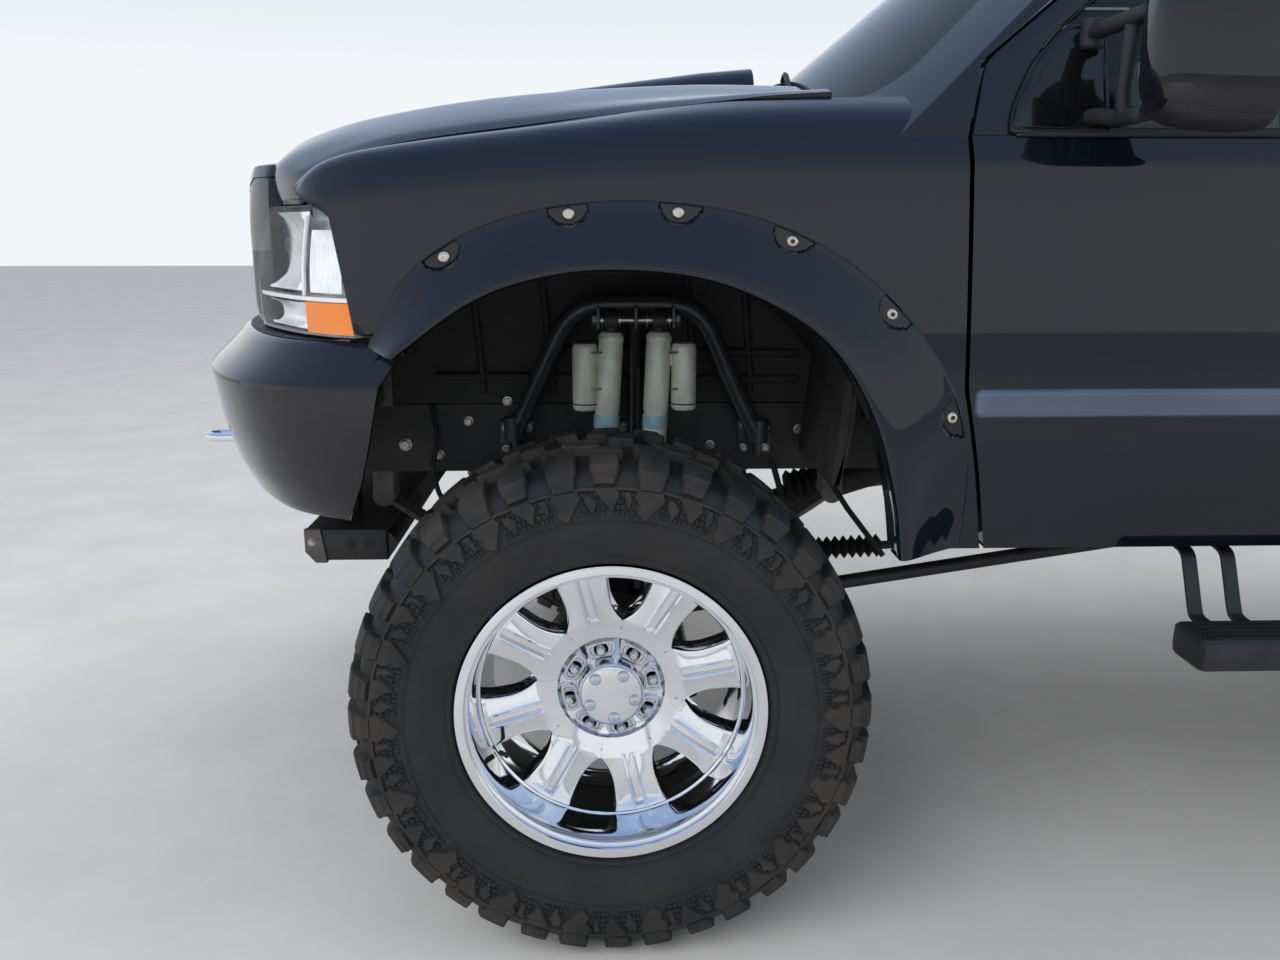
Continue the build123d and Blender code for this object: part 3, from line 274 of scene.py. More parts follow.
def tangents(line):
    """The direction of a line at each of its points."""
    last = len(line) - 1
    return [(line[min(k + 1, last)] - line[max(k - 1, 0)]).normalized() for k in range(last + 1)]


def other_half(points, skip=1):
    """The mirrored points that continue a row from the middle to the right side."""
    return [Vector((p.x, -p.y, p.z)) for p in points[::-1][skip:]]


class Build:
    """Gathers verts and faces of one piece from several simple forms."""

    def __init__(self):
        self.verts, self.faces, self.mats = [], [], []

    def add(self, verts, faces, mat=0):
        """Adds faces; mat is their material's number, or a list with one for each."""
        start = len(self.verts)
        self.verts += [Vector(v) for v in verts]
        self.faces += [[start + i for i in f] for f in faces]
        self.mats += mat if isinstance(mat, list) else [mat] * len(faces)
        return self

    def grid(self, rows, close_u=False, close_v=False, mat=0, caps=False):
        """Rows of points joined by quads; close_u joins each row's ends, close_v the last row to the first."""
        n, m = len(rows), len(rows[0])
        faces = []
        for i in range(n if close_v else n - 1):
            for j in range(m if close_u else m - 1):
                a, b = i * m + j, i * m + (j + 1) % m
                c, d = ((i + 1) % n) * m + (j + 1) % m, ((i + 1) % n) * m + j
                faces.append([a, b, c, d])
        if caps:
            faces.append(list(range(m))[::-1])
            faces.append([(n - 1) * m + j for j in range(m)])
        return self.add([p for row in rows for p in row], faces, mat)

    def cut_grid(self, rows, keep):
        """Rows of points joined by those quads whose middle passes a test."""
        m = len(rows[0])
        verts = [p for row in rows for p in row]
        quads = [[i * m + j, (i + 1) * m + j, (i + 1) * m + j + 1, i * m + j + 1]
                 for i in range(len(rows) - 1) for j in range(m - 1)]
        return self.add(verts, [quad for quad in quads if keep(sum((verts[k] for k in quad), Vector()) / 4)])

    def fold(self, row, *steps, mat=0):
        """A folded edge: a row of points, then the same row at each step away from it."""
        return self.grid([row] + [[p + Vector(step) for p in row] for step in steps], mat=mat)

    def tube(self, points, radius, sides=12, mat=0):
        """A round bar along points; radius may be one number or one for each point."""
        pts = [Vector(p) for p in points]
        radii = radius if isinstance(radius, (list, tuple)) else [radius] * len(pts)
        up, rows = None, []
        for p, along, r in zip(pts, tangents(pts), radii):
            if up is None:
                up = along.orthogonal().normalized()
            up = (up - along * up.dot(along)).normalized()
            side = along.cross(up)
            rows.append([p + (up * math.cos(t) + side * math.sin(t)) * r for t in turns(sides)])
        return self.grid(rows, close_u=True, mat=mat, caps=True)

    def turned(self, origin, axis, profile, sides=24, mat=0, caps=True, phase=0.0):
        """A turned form: profile is (distance along axis, radius)."""
        axis = Vector(axis).normalized()
        u = axis.orthogonal().normalized()
        v = axis.cross(u)
        rows = [[Vector(origin) + axis * h + (u * math.cos(phase + t) + v * math.sin(phase + t)) * r
                 for t in turns(sides)] for h, r in profile]
        return self.grid(rows, close_u=True, mat=mat, caps=caps)

    def flat_bar(self, line, half_wide, half_thick, mat):
        """A flat bar along a line that lies across the vehicle."""
        rows = []
        for p, along in zip(line, tangents(line)):
            normal = Vector((0, along.z, -along.y))
            rows.append([p + Vector((half_wide * x, 0, 0)) + normal * half_thick * s
                         for x, s in ((-1, -1), (1, -1), (1, 1), (-1, 1))])
        return self.grid(rows, close_u=True, caps=True, mat=mat)

    def box(self, lo, hi, bevel=0.0, mat=0):
        """A block with bevelled edges."""
        bm = bmesh.new()
        bmesh.ops.create_cube(bm, size=1.0)
        lo, hi = Vector(lo), Vector(hi)
        for v in bm.verts:
            v.co = Vector(lo[k] + (v.co[k] + 0.5) * (hi[k] - lo[k]) for k in range(3))
        if bevel:
            bmesh.ops.bevel(bm, geom=bm.edges[:], offset=bevel, segments=2, profile=0.6, affect="EDGES")
        bm.verts.index_update()
        self.add([v.co.copy() for v in bm.verts], [[v.index for v in f.verts] for f in bm.faces], mat)
        bm.free()
        return self

    def side_box(self, s, lo, hi, bevel=0.0, mat=0):
        """A block on the left where s is 1, and its mirror on the right where s is -1."""
        y0, y1 = sorted((s * lo[1], s * hi[1]))
        return self.box((lo[0], y0, lo[2]), (hi[0], y1, hi[2]), bevel, mat)

    def move(self, matrix):
        """Moves the whole form."""
        self.verts = [matrix @ v for v in self.verts]
        return self

    def join(self, other, matrix=None):
        """Takes in a copy of another form."""
        return self.add([matrix @ v if matrix else v for v in other.verts], other.faces, other.mats)

    def mirrored(self):
        """A copy on the vehicle's other side."""
        verts = [Vector((v.x, -v.y, v.z)) for v in self.verts]
        return Build().add(verts, [f[::-1] for f in self.faces], self.mats)

    def make(self, name, finish, body, stands_for=(), crease=40.0, slot=None):
        """Turns the form into an object that rides on a body and may stand for CAD nodes.

        finish is a material, or a list that the faces' numbers choose from. Edges sharper than crease stay sharp.
        """
        data = bpy.data.meshes.new(name)
        data.from_pydata([tuple(v) for v in self.verts], [], self.faces)
        data.validate()
        for m in (finish if isinstance(finish, list) else [finish]):
            data.materials.append(m)
        data.polygons.foreach_set("material_index", self.mats)
        obj = bpy.data.objects.new(name, data)
        bpy.context.scene.collection.objects.link(obj)
        bm = bmesh.new()
        bm.from_mesh(data)
        bmesh.ops.recalc_face_normals(bm, faces=bm.faces)
        limit = math.radians(crease)
        for f in bm.faces:
            f.smooth = True
        for e in bm.edges:
            e.smooth = len(e.link_faces) == 2 and e.calc_face_angle(0.0) < limit
        bm.to_mesh(data)
        bm.free()
        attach(obj, body)
        if stands_for:
            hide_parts(*stands_for)
        return obj


def both_sides(form, name, finish, body, stands_for=(), **more):
    """Makes a form drawn on the left, and its mirror; {} in a name stands for the side."""
    for side_name, placed in (("left", form), ("right", form.mirrored())):
        placed.make(name.format(side_name), finish, body.format(side_name),
                    [node_name.format(side_name) for node_name in stands_for], **more)


def smooth_path(points, steps=6):
    """A smooth line through points, as a Catmull-Rom curve."""
    pts = [Vector(p) for p in points]
    pts = [pts[0] * 2 - pts[1]] + pts + [pts[-1] * 2 - pts[-2]]
    out = []
    for i in range(1, len(pts) - 2):
        a, b, c, d = pts[i - 1:i + 3]
        for k in range(steps):
            t = k / steps
            out.append(0.5 * ((2 * b) + (c - a) * t + (2 * a - 5 * b + 4 * c - d) * t * t
                              + (3 * b - a - 3 * c + d) * t * t * t))
    out.append(pts[-2])
    return out


def walk(line, shares):
    """Points at rising shares of a line's length."""
    lengths = [0.0]
    for p, q in zip(line, line[1:]):
        lengths.append(lengths[-1] + (q - p).length)
    out, i = [], 0
    for share in shares:
        want = lengths[-1] * share
        while i < len(lengths) - 2 and lengths[i + 1] < want:
            i += 1
        t = (want - lengths[i]) / max(1e-9, lengths[i + 1] - lengths[i])
        out.append(line[i].lerp(line[i + 1], min(1.0, t)))
    return out


def bolt_head(build, at, axis, size, mat=0, button=False):
    """A flanged hex bolt head, or a round button head; each profile is in shares of the size."""
    if button:
        parts = [(20, [(0, 1), (0.25, 1), (0.5, 0.82), (0.62, 0.5), (0.62, 0.34), (0.3, 0.32)])]
    else:
        parts = [(20, [(0, 1.25), (0.16, 1.25), (0.2, 1.05)]), (6, [(0, 1), (0.72, 1), (0.86, 0.84)])]
    for sides, profile in parts:
        build.turned(at, axis, [(size * h, size * r) for h, r in profile], sides, mat)


def curve_through(table, at, column):
    """A smooth value between the rows of a table whose first column rises."""
    n = len(table)
    at = min(max(at, table[0][0]), table[-1][0])
    i = max(k for k in range(n - 1) if table[k][0] <= at)
    x0, x1 = table[i][0], table[i + 1][0]
    y0, y1 = table[i][column], table[i + 1][column]

    def slope(k):
        lo, hi = max(k - 1, 0), min(k + 1, n - 1)
        return (table[hi][column] - table[lo][column]) / (table[hi][0] - table[lo][0])
    h = x1 - x0
    t = (at - x0) / h
    m0, m1 = slope(i) * h, slope(i + 1) * h
    return ((2 * t ** 3 - 3 * t ** 2 + 1) * y0 + (t ** 3 - 2 * t ** 2 + t) * m0
            + (3 * t ** 2 - 2 * t ** 3) * y1 + (t ** 3 - t ** 2) * m1)


def straight(table, at):
    """A value between the rows of a table, by straight runs."""
    at = min(max(at, table[0][0]), table[-1][0])
    i = max(k for k in range(len(table) - 1) if table[k][0] <= at)
    (x0, y0), (x1, y1) = table[i][:2], table[i + 1][:2]
    return y0 + (y1 - y0) * (at - x0) / (x1 - x0)


# Wheels. Each is drawn once around its own centre, with Y pointing out of the vehicle.

spoke_count = 8
spoke_angle = math.radians(31.5)
stud_circle = 0.085


def polar(radius, angle, w):
    """A point round the wheel's axis, w out from its middle plane."""
    return Vector((radius * math.cos(angle), w, radius * math.sin(angle)))


def ring(build, profile, steps=144, mat=0):
    """A full turned ring; profile is (w, radius)."""
    build.grid([[polar(r, t, w) for w, r in profile] for t in turns(steps)], close_v=True, mat=mat)


def rim_barrel(build):
    """The polished outer lip with its stepped ring, the deep dish, and the inner barrel."""
    outer = [(0.128, 0.2745), (0.138, 0.2785), (0.146, 0.28), (0.15, 0.287), (0.153, 0.296), (0.16, 0.297),
             (0.1645, 0.2962), (0.165, 0.2935), (0.165, 0.28), (0.164, 0.2788), (0.156, 0.278), (0.1548, 0.2765),
             (0.153, 0.2715), (0.148, 0.269), (0.11, 0.2665), (0.07, 0.264), (0.062, 0.2625), (0.06, 0.2585),
             (0.056, 0.2575), (0.03, 0.2575), (0.02, 0.256), (-0.02, 0.248), (-0.07, 0.244), (-0.12, 0.256),
             (-0.148, 0.27), (-0.16, 0.283), (-0.165, 0.29), (-0.165, 0.297), (-0.154, 0.297),
             (-0.145, 0.279), (-0.1, 0.276), (0.128, 0.2745)]
    ring(build, outer)


spoke_rows = [(0.149, 0.059), (0.154, 0.056), (0.162, 0.0515), (0.172, 0.0482), (0.185, 0.046), (0.2, 0.0455),
              (0.222, 0.048), (0.247, 0.0525), (0.2575, 0.0565)]


def spoke_half_width(r):
    """Half of a spoke's width at a radius: it fans out to the rim and to the hub."""
    return r * 0.396 if r < 0.149 else curve_through(spoke_rows, r, 1)


def spoke_height(r):
    """How far a spoke's face stands out of the wheel's middle plane."""
    t = min(1.0, max(0.0, (r - 0.1) / 0.157))
    return 0.03 + 0.03 * (1 - (1 - t) ** 1.6)


def spokes(build):
    """Eight wide spokes that fan out to the lip, each with one long groove along its middle."""
    radii = [0.108, 0.12, 0.132, 0.142, 0.145, 0.149, 0.1505, 0.154, 0.158, 0.163, 0.17, 0.178, 0.188, 0.2, 0.22, 0.24,
             0.247, 0.25, 0.2575]
    groove_start, groove_end = 0.143, 0.25
    for k in range(spoke_count):
        middle_angle = spoke_angle + 2 * math.pi / spoke_count * k
        rows = []
        for r in radii:
            half, top = spoke_half_width(r), spoke_height(r)
            deep = 0.01 if groove_start < r < groove_end else 0.0
            groove, ridge = 0.0095, 0.0022 * bool(deep)
            free = 1.0 if r > 0.15 else 0.0
            flank = [(half, top - 0.052), (half, top - 0.01 * free), (half - 0.0035, top - 0.0025 * free),
                     (half - 0.009, top), (groove + 0.006, top), (groove + 0.003, top + ridge),
                     (groove, top + ridge * 0.2), (groove * 0.62, top - deep)]
            section = [(-u, w) for u, w in flank] + [(0, top - deep * 1.06)] + flank[::-1]
            rows.append([polar(r, middle_angle + math.asin(u / r), w) for u, w in section])
        build.grid(rows, caps=True)
        build.grid([[row[0], row[-1]] for row in rows])


def hub(build, dark):
    """The centre: disc, recessed pockets with lug nuts, fluted collar and a plain cap with five bolts."""
    ring(build, [(0.0, 0.04), (0.0225, 0.052), (0.0225, 0.056), (0.0235, 0.064), (0.0235, 0.103), (0.0255, 0.106),
                 (0.03, 0.1075), (0.0305, 0.113), (0.02, 0.115), (-0.044, 0.115), (-0.044, 0.04), (0.0, 0.04)])
    for k in range(spoke_count):
        a = spoke_angle + 2 * math.pi / spoke_count * k
        pad = []
        for w, grow in ((0.0225, 0.0), (0.03, 0.0), (0.0312, -0.0012), (0.0312, -0.006), (0.0285, -0.0085)):
            inner, outer, span = 0.069 - grow, 0.101 + grow, 0.03 + grow
            flank = [(inner, 0.62), (0.078, 0.86), (0.092, 1), (outer, 0.86)]
            edge = [(r, -u) for r, u in flank] + [(outer + 0.001, 0)] + flank[::-1] + [(inner - 0.0015, 0)]
            pad.append([polar(r, a + math.asin(span * u / r), w) for r, u in edge])
        build.grid(pad, close_u=True, mat=1)
        build.add(pad[-1], [list(range(len(pad[-1])))], 1)
        at = polar(stud_circle, a, 0.0286)
        dark.turned(at, (0, 1, 0), [(0.0002, 0.013), (0.0004, 0.0165), (0.0002, 0.0166)], 24, 2)
        build.turned(at, (0, 1, 0), [(0, 0.0172), (0.0028, 0.0168), (0.003, 0.015), (0.0006, 0.0146)], 28, 1,
                     caps=False)
        nut = [(0, 0.0102), (0.015, 0.0102), (0.018, 0.0092), (0.0205, 0.0066), (0.021, 0.003)]
        build.turned(at, (0, 1, 0), nut, 6, 1, phase=a)
    ring(build, [(0.0235, 0.0665), (0.06, 0.0655), (0.064, 0.0645), (0.0655, 0.062), (0.06, 0.058)], 96, 1)
    for k in range(12):
        a = spoke_angle + math.pi / 12 + math.pi / 6 * k
        dark.grid([[polar(0.0667 - 0.2 * abs(u), a + u / 0.067, w) for u in (-0.0062, -0.003, 0.003, 0.0062)]
                   for w in (0.03, 0.034, 0.05, 0.056)], mat=2)
    cap = [(0.056, 0.0602), (0.065, 0.0608), (0.0682, 0.059), (0.0692, 0.056), (0.0696, 0.03), (0.0697, 0.001)]
    build.turned((0, 0, 0), (0, 1, 0), cap, 72)
    for k in range(5):
        a = math.radians(48 + 72 * k)
        bolt_head(build, polar(0.047, a, 0.0692), (0, 1, 0), 0.0118, 1, button=True)


def rim_design():
    """The whole wheel without its tyre, in polished, satin and dark parts."""
    build, dark = Build(), Build()
    rim_barrel(build)
    spokes(build)
    hub(build, dark)
    valve_angle = math.radians(-29)
    stem = [polar(r, valve_angle, w) for r, w in ((0.254, 0.06), (0.24, 0.082), (0.236, 0.094))]
    dark.tube(stem, [0.0052, 0.0046, 0.0038], 12, 2)
    return build.join(dark)


# Tyre: half of its section, from the tread's middle line over the shoulder to the bead, as (w, radius)
tread_r = 0.48
lug_pairs = 18
lug_pitch = 2 * math.pi * tread_r / lug_pairs
half_section = [(0.0, 0.486), (0.05, 0.4857), (0.1, 0.4842), (0.14, 0.4812), (0.16, 0.477), (0.174, 0.47),
                (0.183, 0.458), (0.1875, 0.443), (0.189, 0.426), (0.1895, 0.408), (0.189, 0.388), (0.1865, 0.368),
                (0.1815, 0.348), (0.1745, 0.33), (0.169, 0.315), (0.166, 0.304), (0.157, 0.2985), (0.148, 0.2965)]


def arc_section():
    """The half section with its running length and outward normal."""
    pts = [Vector((w, r)) for w, r in half_section]
    lengths = [0.0]
    for a, b in zip(pts, pts[1:]):
        lengths.append(lengths[-1] + (b - a).length)
    return pts, lengths


section_points, section_lengths = arc_section()


def on_section(s):
    """Point and normal at distance s from the tread's middle line, over the shoulder to the bead."""
    side = 1 if s >= 0 else -1
    s = min(abs(s), section_lengths[-1])
    i = max(k for k in range(len(section_lengths) - 1) if section_lengths[k] <= s)
    a, b = section_points[i], section_points[i + 1]
    t = (s - section_lengths[i]) / (section_lengths[i + 1] - section_lengths[i])
    before = section_points[max(i - 1, 0)]
    after = section_points[min(i + 2, len(section_points) - 1)]
    tangent = ((b - before) * (1 - t) + (after - a) * t).normalized()
    point = a.lerp(b, t)
    return (side * point.x, point.y), (side * -tangent.y, tangent.x)


def on_tyre(s, angle, height):
    """A point at a height over the tyre's surface, kept inside the tyre's radius."""
    (w, r), (nw, nr) = on_section(s)
    return polar(min(r + nr * height, tyre_r - 0.0003), angle, w + nw * height)


def block_on_tyre(build, outline, height, foot=0.0025, mat=1):
    """A raised block. outline lists (s, left, right) stations in metres, left and right being along the tread;
    a fourth number is the station's own height."""
    low = -0.001
    first_s, last_s = outline[0][0], outline[-1][0]
    direction = 1 if last_s > first_s else -1
    stations = [(first_s - direction * foot, outline[0][1] - foot, outline[0][2] + foot, low)]
    stations += [(s, left, right, own[0] if own else height) for s, left, right, *own in outline]
    stations.append((last_s + direction * foot, outline[-1][1] - foot, outline[-1][2] + foot, low))
    rows = []
    for s, left, right, h in stations:
        soft = min(0.0022, abs(h) * 0.3) if h > 0 else 0
        rows.append([on_tyre(s, x / tread_r, up) for x, up in (
            (left - foot, low), (left, max(low, h - soft)), (left + soft, h), ((left + right) / 2, h),
            (right - soft, h), (right, max(low, h - soft)), (right + foot, low))])
    build.grid(rows, mat=mat)


def carcass(build):
    """The tyre's body with its thin raised sidewall rings."""
    steps = turns(160)
    marks = [section_lengths[-1] * k / 36 for k in range(37)]
    stations = [-s for s in reversed(marks)] + marks[1:]
    build.grid([[on_tyre(s, angle, 0.0) for s in stations] for angle in steps], close_v=True, mat=0)
    for at, wide, tall in ((0.262, 0.0022, 0.0016), (0.338, 0.003, 0.0022), (0.352, 0.0016, 0.0012)):
        for side in (1, -1):
            profile = [(-wide, -0.0004), (-wide * 0.5, tall), (wide * 0.5, tall), (wide, -0.0004)]
            build.grid([[on_tyre(side * (at + u), angle, h) for u, h in profile] for angle in steps], close_v=True,
                       mat=0)


def lug_places():
    """The side and the place along the tread of each lug group; the two sides are half a pitch apart."""
    return [(side, k * lug_pitch + (0.0 if side > 0 else lug_pitch * 0.5)) for k in range(lug_pairs)
            for side in (1, -1)]


# Height, material and stations of each block of a lug group
lug_blocks = [
    # long shoulder lug, narrow towards the middle and hooked
    (0.0175, 1, [(0.046, -0.042, -0.006), (0.06, -0.044, 0.0), (0.086, -0.04, 0.006), (0.1, -0.032, 0.02),
                 (0.128, -0.03, 0.022), (0.15, -0.032, 0.022), (0.168, -0.032, 0.021, 0.0165),
                 (0.176, -0.032, 0.021, 0.016), (0.1785, -0.03, 0.019, 0.0128), (0.19, -0.03, 0.018, 0.0122),
                 (0.193, -0.028, 0.017, 0.0092), (0.202, -0.027, 0.016, 0.0088)]),
    # short shoulder lug between two long ones
    (0.0175, 1, [(0.112, 0.05, 0.094), (0.13, 0.048, 0.098), (0.15, 0.048, 0.099), (0.166, 0.048, 0.099, 0.0165),
                 (0.169, 0.05, 0.097, 0.0132), (0.182, 0.051, 0.096, 0.0126), (0.185, 0.053, 0.094, 0.009),
                 (0.194, 0.054, 0.092, 0.0086)]),
    # centre blocks
    (0.0175, 1, [(0.004, 0.0, 0.044), (0.022, -0.006, 0.046), (0.04, 0.01, 0.06), (0.06, 0.02, 0.066)]),
    (0.0175, 1, [(0.07, 0.062, 0.104), (0.086, 0.052, 0.108), (0.1, 0.056, 0.106)]),
    # claws down the sidewall, under the long lug
    (0.0085, 2, [(0.204, -0.03, 0.02), (0.216, -0.036, 0.026), (0.228, -0.024, 0.016), (0.242, -0.03, 0.004),
                 (0.254, -0.014, -0.006)]),
    (0.0065, 2, [(0.212, 0.032, 0.044), (0.224, 0.03, 0.058), (0.236, 0.04, 0.052), (0.246, 0.044, 0.048)]),
    # smaller hooked claws under the short lug
    (0.0075, 2, [(0.202, 0.052, 0.096), (0.214, 0.06, 0.104), (0.226, 0.072, 0.096), (0.24, 0.082, 0.09)]),
    (0.005, 2, [(0.208, 0.112, 0.124), (0.222, 0.114, 0.128), (0.236, 0.118, 0.124)]),
    # bar that joins the lugs round the shoulder
    (0.0062, 1, [(0.199, -0.06, 0.118), (0.2035, -0.06, 0.118)])]


def tread_blocks(build):
    """Alternating hooked shoulder lugs, interlocked centre blocks, and claw blocks down the sidewall."""
    for side, base in lug_places():
        for height, mat, points in lug_blocks:
            block_on_tyre(build, [(side * s, base + a, base + b, *own) for s, a, b, *own in points], height, mat=mat)


def texture_patches(build):
    """Low cracked patches between the claws, made of small raised cells."""
    cells = random.Random(3)
    for side, base in lug_places():
        for start, wide in ((0.02, 0.052), (0.092, 0.036)):
            for row in range(4):
                x = base + start + cells.uniform(0, 0.004)
                while x < base + start + wide:
                    w = cells.uniform(0.007, 0.013)
                    s = 0.207 + row * 0.0115
                    lean = cells.uniform(-0.003, 0.003)
                    end = x + w - 0.002
                    block_on_tyre(build, [(side * s, x, end), (side * (s + 0.0088), x + lean, end + lean)], 0.0026,
                                  foot=0.0008, mat=3)
                    x += w


def tyre_design():
    build = Build()
    carcass(build)
    tread_blocks(build)
    texture_patches(build)
    return build


tyre_form, rim_form = tyre_design(), rim_design()
for axle_name, axle in (("front", front), ("rear", rear)):
    to_left = Matrix.Translation((axle, rim_mid, hub_z))
    corner = axle_name + "_{}"
    both_sides(Build().join(tyre_form, to_left), f"tyre_{corner}_tread", [tyre_side, tread, tread, crackle],
               f"wheel_{corner}", [f"tyre_{corner}"], slot="tyre", crease=32)
    both_sides(Build().join(rim_form, to_left), f"rim_{corner}_polished", [chrome, satin, seal],
               f"wheel_{corner}", [f"rim_{corner}"], slot="rim_metal", crease=38)


# Front body: smooth fenders, hood, flares, bumper. Distances "a" are metres ahead of the front axle.

sill_z, crease_z, belt_z = 0.785, 1.52, 1.562
side_rows = [(0.785, 0.94), (0.945, 0.982), (1.09, 1.0), (1.31, 0.996), (1.52, 0.984)]
# a, how far the side runs in, drop of the crease, height of the hood seam
fender_rows = [(-0.745, 0.0, 0.0, 1.644), (-0.4, 0.0, 0.0, 1.64), (-0.174, 0.0, 0.0, 1.628),
               (0.176, 0.004, 0.02, 1.585), (0.434, 0.025, 0.045, 1.549), (0.53, 0.05, 0.062, 1.52),
               (0.592, 0.084, 0.1, 1.475)]
arch_mid_z, arch_r = 0.776, 0.575
crease_y, belt_y = 0.984, 0.966
hood_y = 0.862


def side_y(z, drop=0.0):
    """The body side's half width at a height below the belt."""
    if z <= crease_z - drop:
        return curve_through(side_rows, z, 1)
    t = min(1.0, (z - crease_z + drop) / (belt_z - crease_z))
    return crease_y + (belt_y - crease_y) * t


def fender_y(a, z):
    """The fender's half width at a place, from sill to belt."""
    return side_y(z, curve_through(fender_rows, a, 2)) - curve_through(fender_rows, a, 1)


rear_edge = [(0.785, -0.731), (0.955, -0.695), (1.11, -0.66), (1.56, -0.647), (1.7, -0.652)]
front_edge = [(0.785, 0.38), (1.195, 0.38), (1.1951, 0.463), (1.203, 0.465), (1.427, 0.507), (1.462, 0.575),
              (1.48, 0.592), (1.7, 0.592)]


def fender_place(z, t):
    """The place at a share t of the way from the fender's rear edge to its front edge."""
    return straight(rear_edge, z) + (straight(front_edge, z) - straight(rear_edge, z)) * t


def from_arch(p, centre_a=0.0):
    """A point's distance from the wheel arch's centre, seen from the side."""
    return math.hypot(p.x - centre_a, p.z - arch_mid_z)


def fender_skin():
    """The left fender's outer skin: rows up the side and over the shoulder to the hood seam."""
    columns, levels, shoulder = 110, 34, 8
    grid = []
    for t in (i / columns for i in range(columns + 1)):
        row = []
        for j in range(levels + shoulder + 1):
            if j <= levels:
                a = 0.0
                for _ in range(4):
                    drop = curve_through(fender_rows, a, 2)
                    z = sill_z + (belt_z - drop - sill_z) * j / levels
                    a = fender_place(z, t)
                y = fender_y(a, z)
            else:
                u = (j - levels) / shoulder
                a = fender_place(1.6, t)
                narrow, drop, seam_z = (curve_through(fender_rows, a, column) for column in (1, 2, 3))
                y0, z0 = belt_y - narrow, belt_z - drop
                bulge = 0.014 * math.sin(math.pi * u) * (1 - 0.4 * u)
                y = y0 + (0.868 - narrow * 0.6 - y0) * u + bulge * 0.6
                z = z0 + (seam_z - z0) * u + bulge
                low_a = fender_place(z0, t)
                a = low_a + (a - low_a) * min(1.0, u * 2.5)
            row.append(Vector((a, y, z)))
        grid.append(row)
    return grid


def fender():
    """The skin with its wheel arch cut, rolled in along the hood seam and the door gap."""
    rows = fender_skin()
    build = Build().cut_grid(rows, lambda c: from_arch(c) >= arch_r + 0.02 and not (c.x > -0.3 and c.z < 1.2))
    build.fold([row[-1] for row in rows], (0, -0.003, -0.006), (0, -0.003, -0.03), (0, -0.03, -0.034))
    build.fold(rows[0], (0.004, -0.006, 0), (0.006, -0.03, 0))
    build.fold(rows[-1][18:], (-0.002, -0.006, 0), (-0.006, -0.028, 0))
    return build.move(to_front)


both_sides(fender(), "fender_{}", paint, "chassis", ["front_fenders"], slot="body_paint", crease=28)


# Hood: a, half width, edge, ridge and middle heights
hood_rows = [(-0.424, 0.862, 1.652, 1.69, 1.704), (-0.3, 0.862, 1.644, 1.693, 1.703),
             (-0.174, 0.862, 1.63, 1.693, 1.7), (0.0, 0.862, 1.61, 1.685, 1.693),
             (0.176, 0.862, 1.588, 1.672, 1.682), (0.32, 0.86, 1.57, 1.655, 1.669),
             (0.434, 0.858, 1.55, 1.636, 1.652), (0.52, 0.842, 1.524, 1.62, 1.638),
             (0.597, 0.818, 1.492, 1.6, 1.622), (0.67, 0.76, 1.474, 1.579, 1.601), (0.736, 0.64, 1.47, 1.548, 1.574)]
hood_front = [(0.0, 0.74), (0.3, 0.738), (0.6, 0.724), (0.7, 0.694), (0.76, 0.66), (0.82, 0.604), (0.862, 0.556)]
hood_back = [(0.0, -0.344), (0.3, -0.346), (0.6, -0.392), (0.862, -0.418)]


def hood_point(a, share):
    """A point of the hood's outer face; share is 0 in the middle and 1 at the edge."""
    wide, edge, ridge, mid = (curve_through(hood_rows, a, c) for c in (1, 2, 3, 4))
    y = wide * share
    ridge_y = wide - 0.25
    shoulder = [(-0.3, mid - (mid - ridge) * 0.09), (0.0, mid), (ridge_y - 0.14, ridge + 0.006),
                (ridge_y - 0.02, ridge + 0.002), (ridge_y + 0.035, ridge - 0.01),
                (wide - 0.11, ridge - 0.03 - (ridge - edge) * 0.12), (wide - 0.03, edge + (ridge - edge) * 0.2),
                (wide, edge)]
    return y, curve_through(shoulder, y, 1)


def hood_panel():
    """The hood's skin from the cowl gap to the rolled front lip, with folded edges."""
    across, along = 60, 64
    rows = []
    for i in range(-across, across + 1):
        share = abs(i) / across
        share = 1 - (1 - share) ** 1.15
        sign = 1 if i >= 0 else -1
        y_guess = hood_y * share
        start, end = straight(hood_back, y_guess), straight(hood_front, y_guess)
        row = []
        for j in range(along + 1):
            a = start + (end - start) * j / along
            y, z = hood_point(a, share)
            row.append(Vector((a, sign * y, z)))
        lip = row[-1]
        inward = Vector((0, -sign * 0.3 * share ** 4, 0))
        roll = [(0.01, -0.004), (0.0165, -0.013), (0.0175, -0.024), (0.015, -0.034), (0.008, -0.038)]
        near_corner = min(1.0, max(0.0, (share - 0.6) / 0.22))
        hang = 1 + near_corner * (max(lip.z - 1.449, 0.038) / 0.038 - 1)
        row += [lip + (Vector((da, 0, 0)) + inward * abs(da)) + Vector((0, 0, dz * hang)) for da, dz in roll]
        cowl_fold = [row[0] + Vector(step) for step in ((0.01, 0, -0.022), (-0.001, 0, -0.01), (-0.001, 0, -0.003))]
        rows.append(cowl_fold + row)
    build = Build().grid(rows)
    for rim_row, sign in ((rows[0], 1), (rows[-1], -1)):
        build.fold(rim_row, (0, sign * 0.002, -0.006), (0, sign * 0.004, -0.026), (0, sign * 0.03, -0.03))
    return build


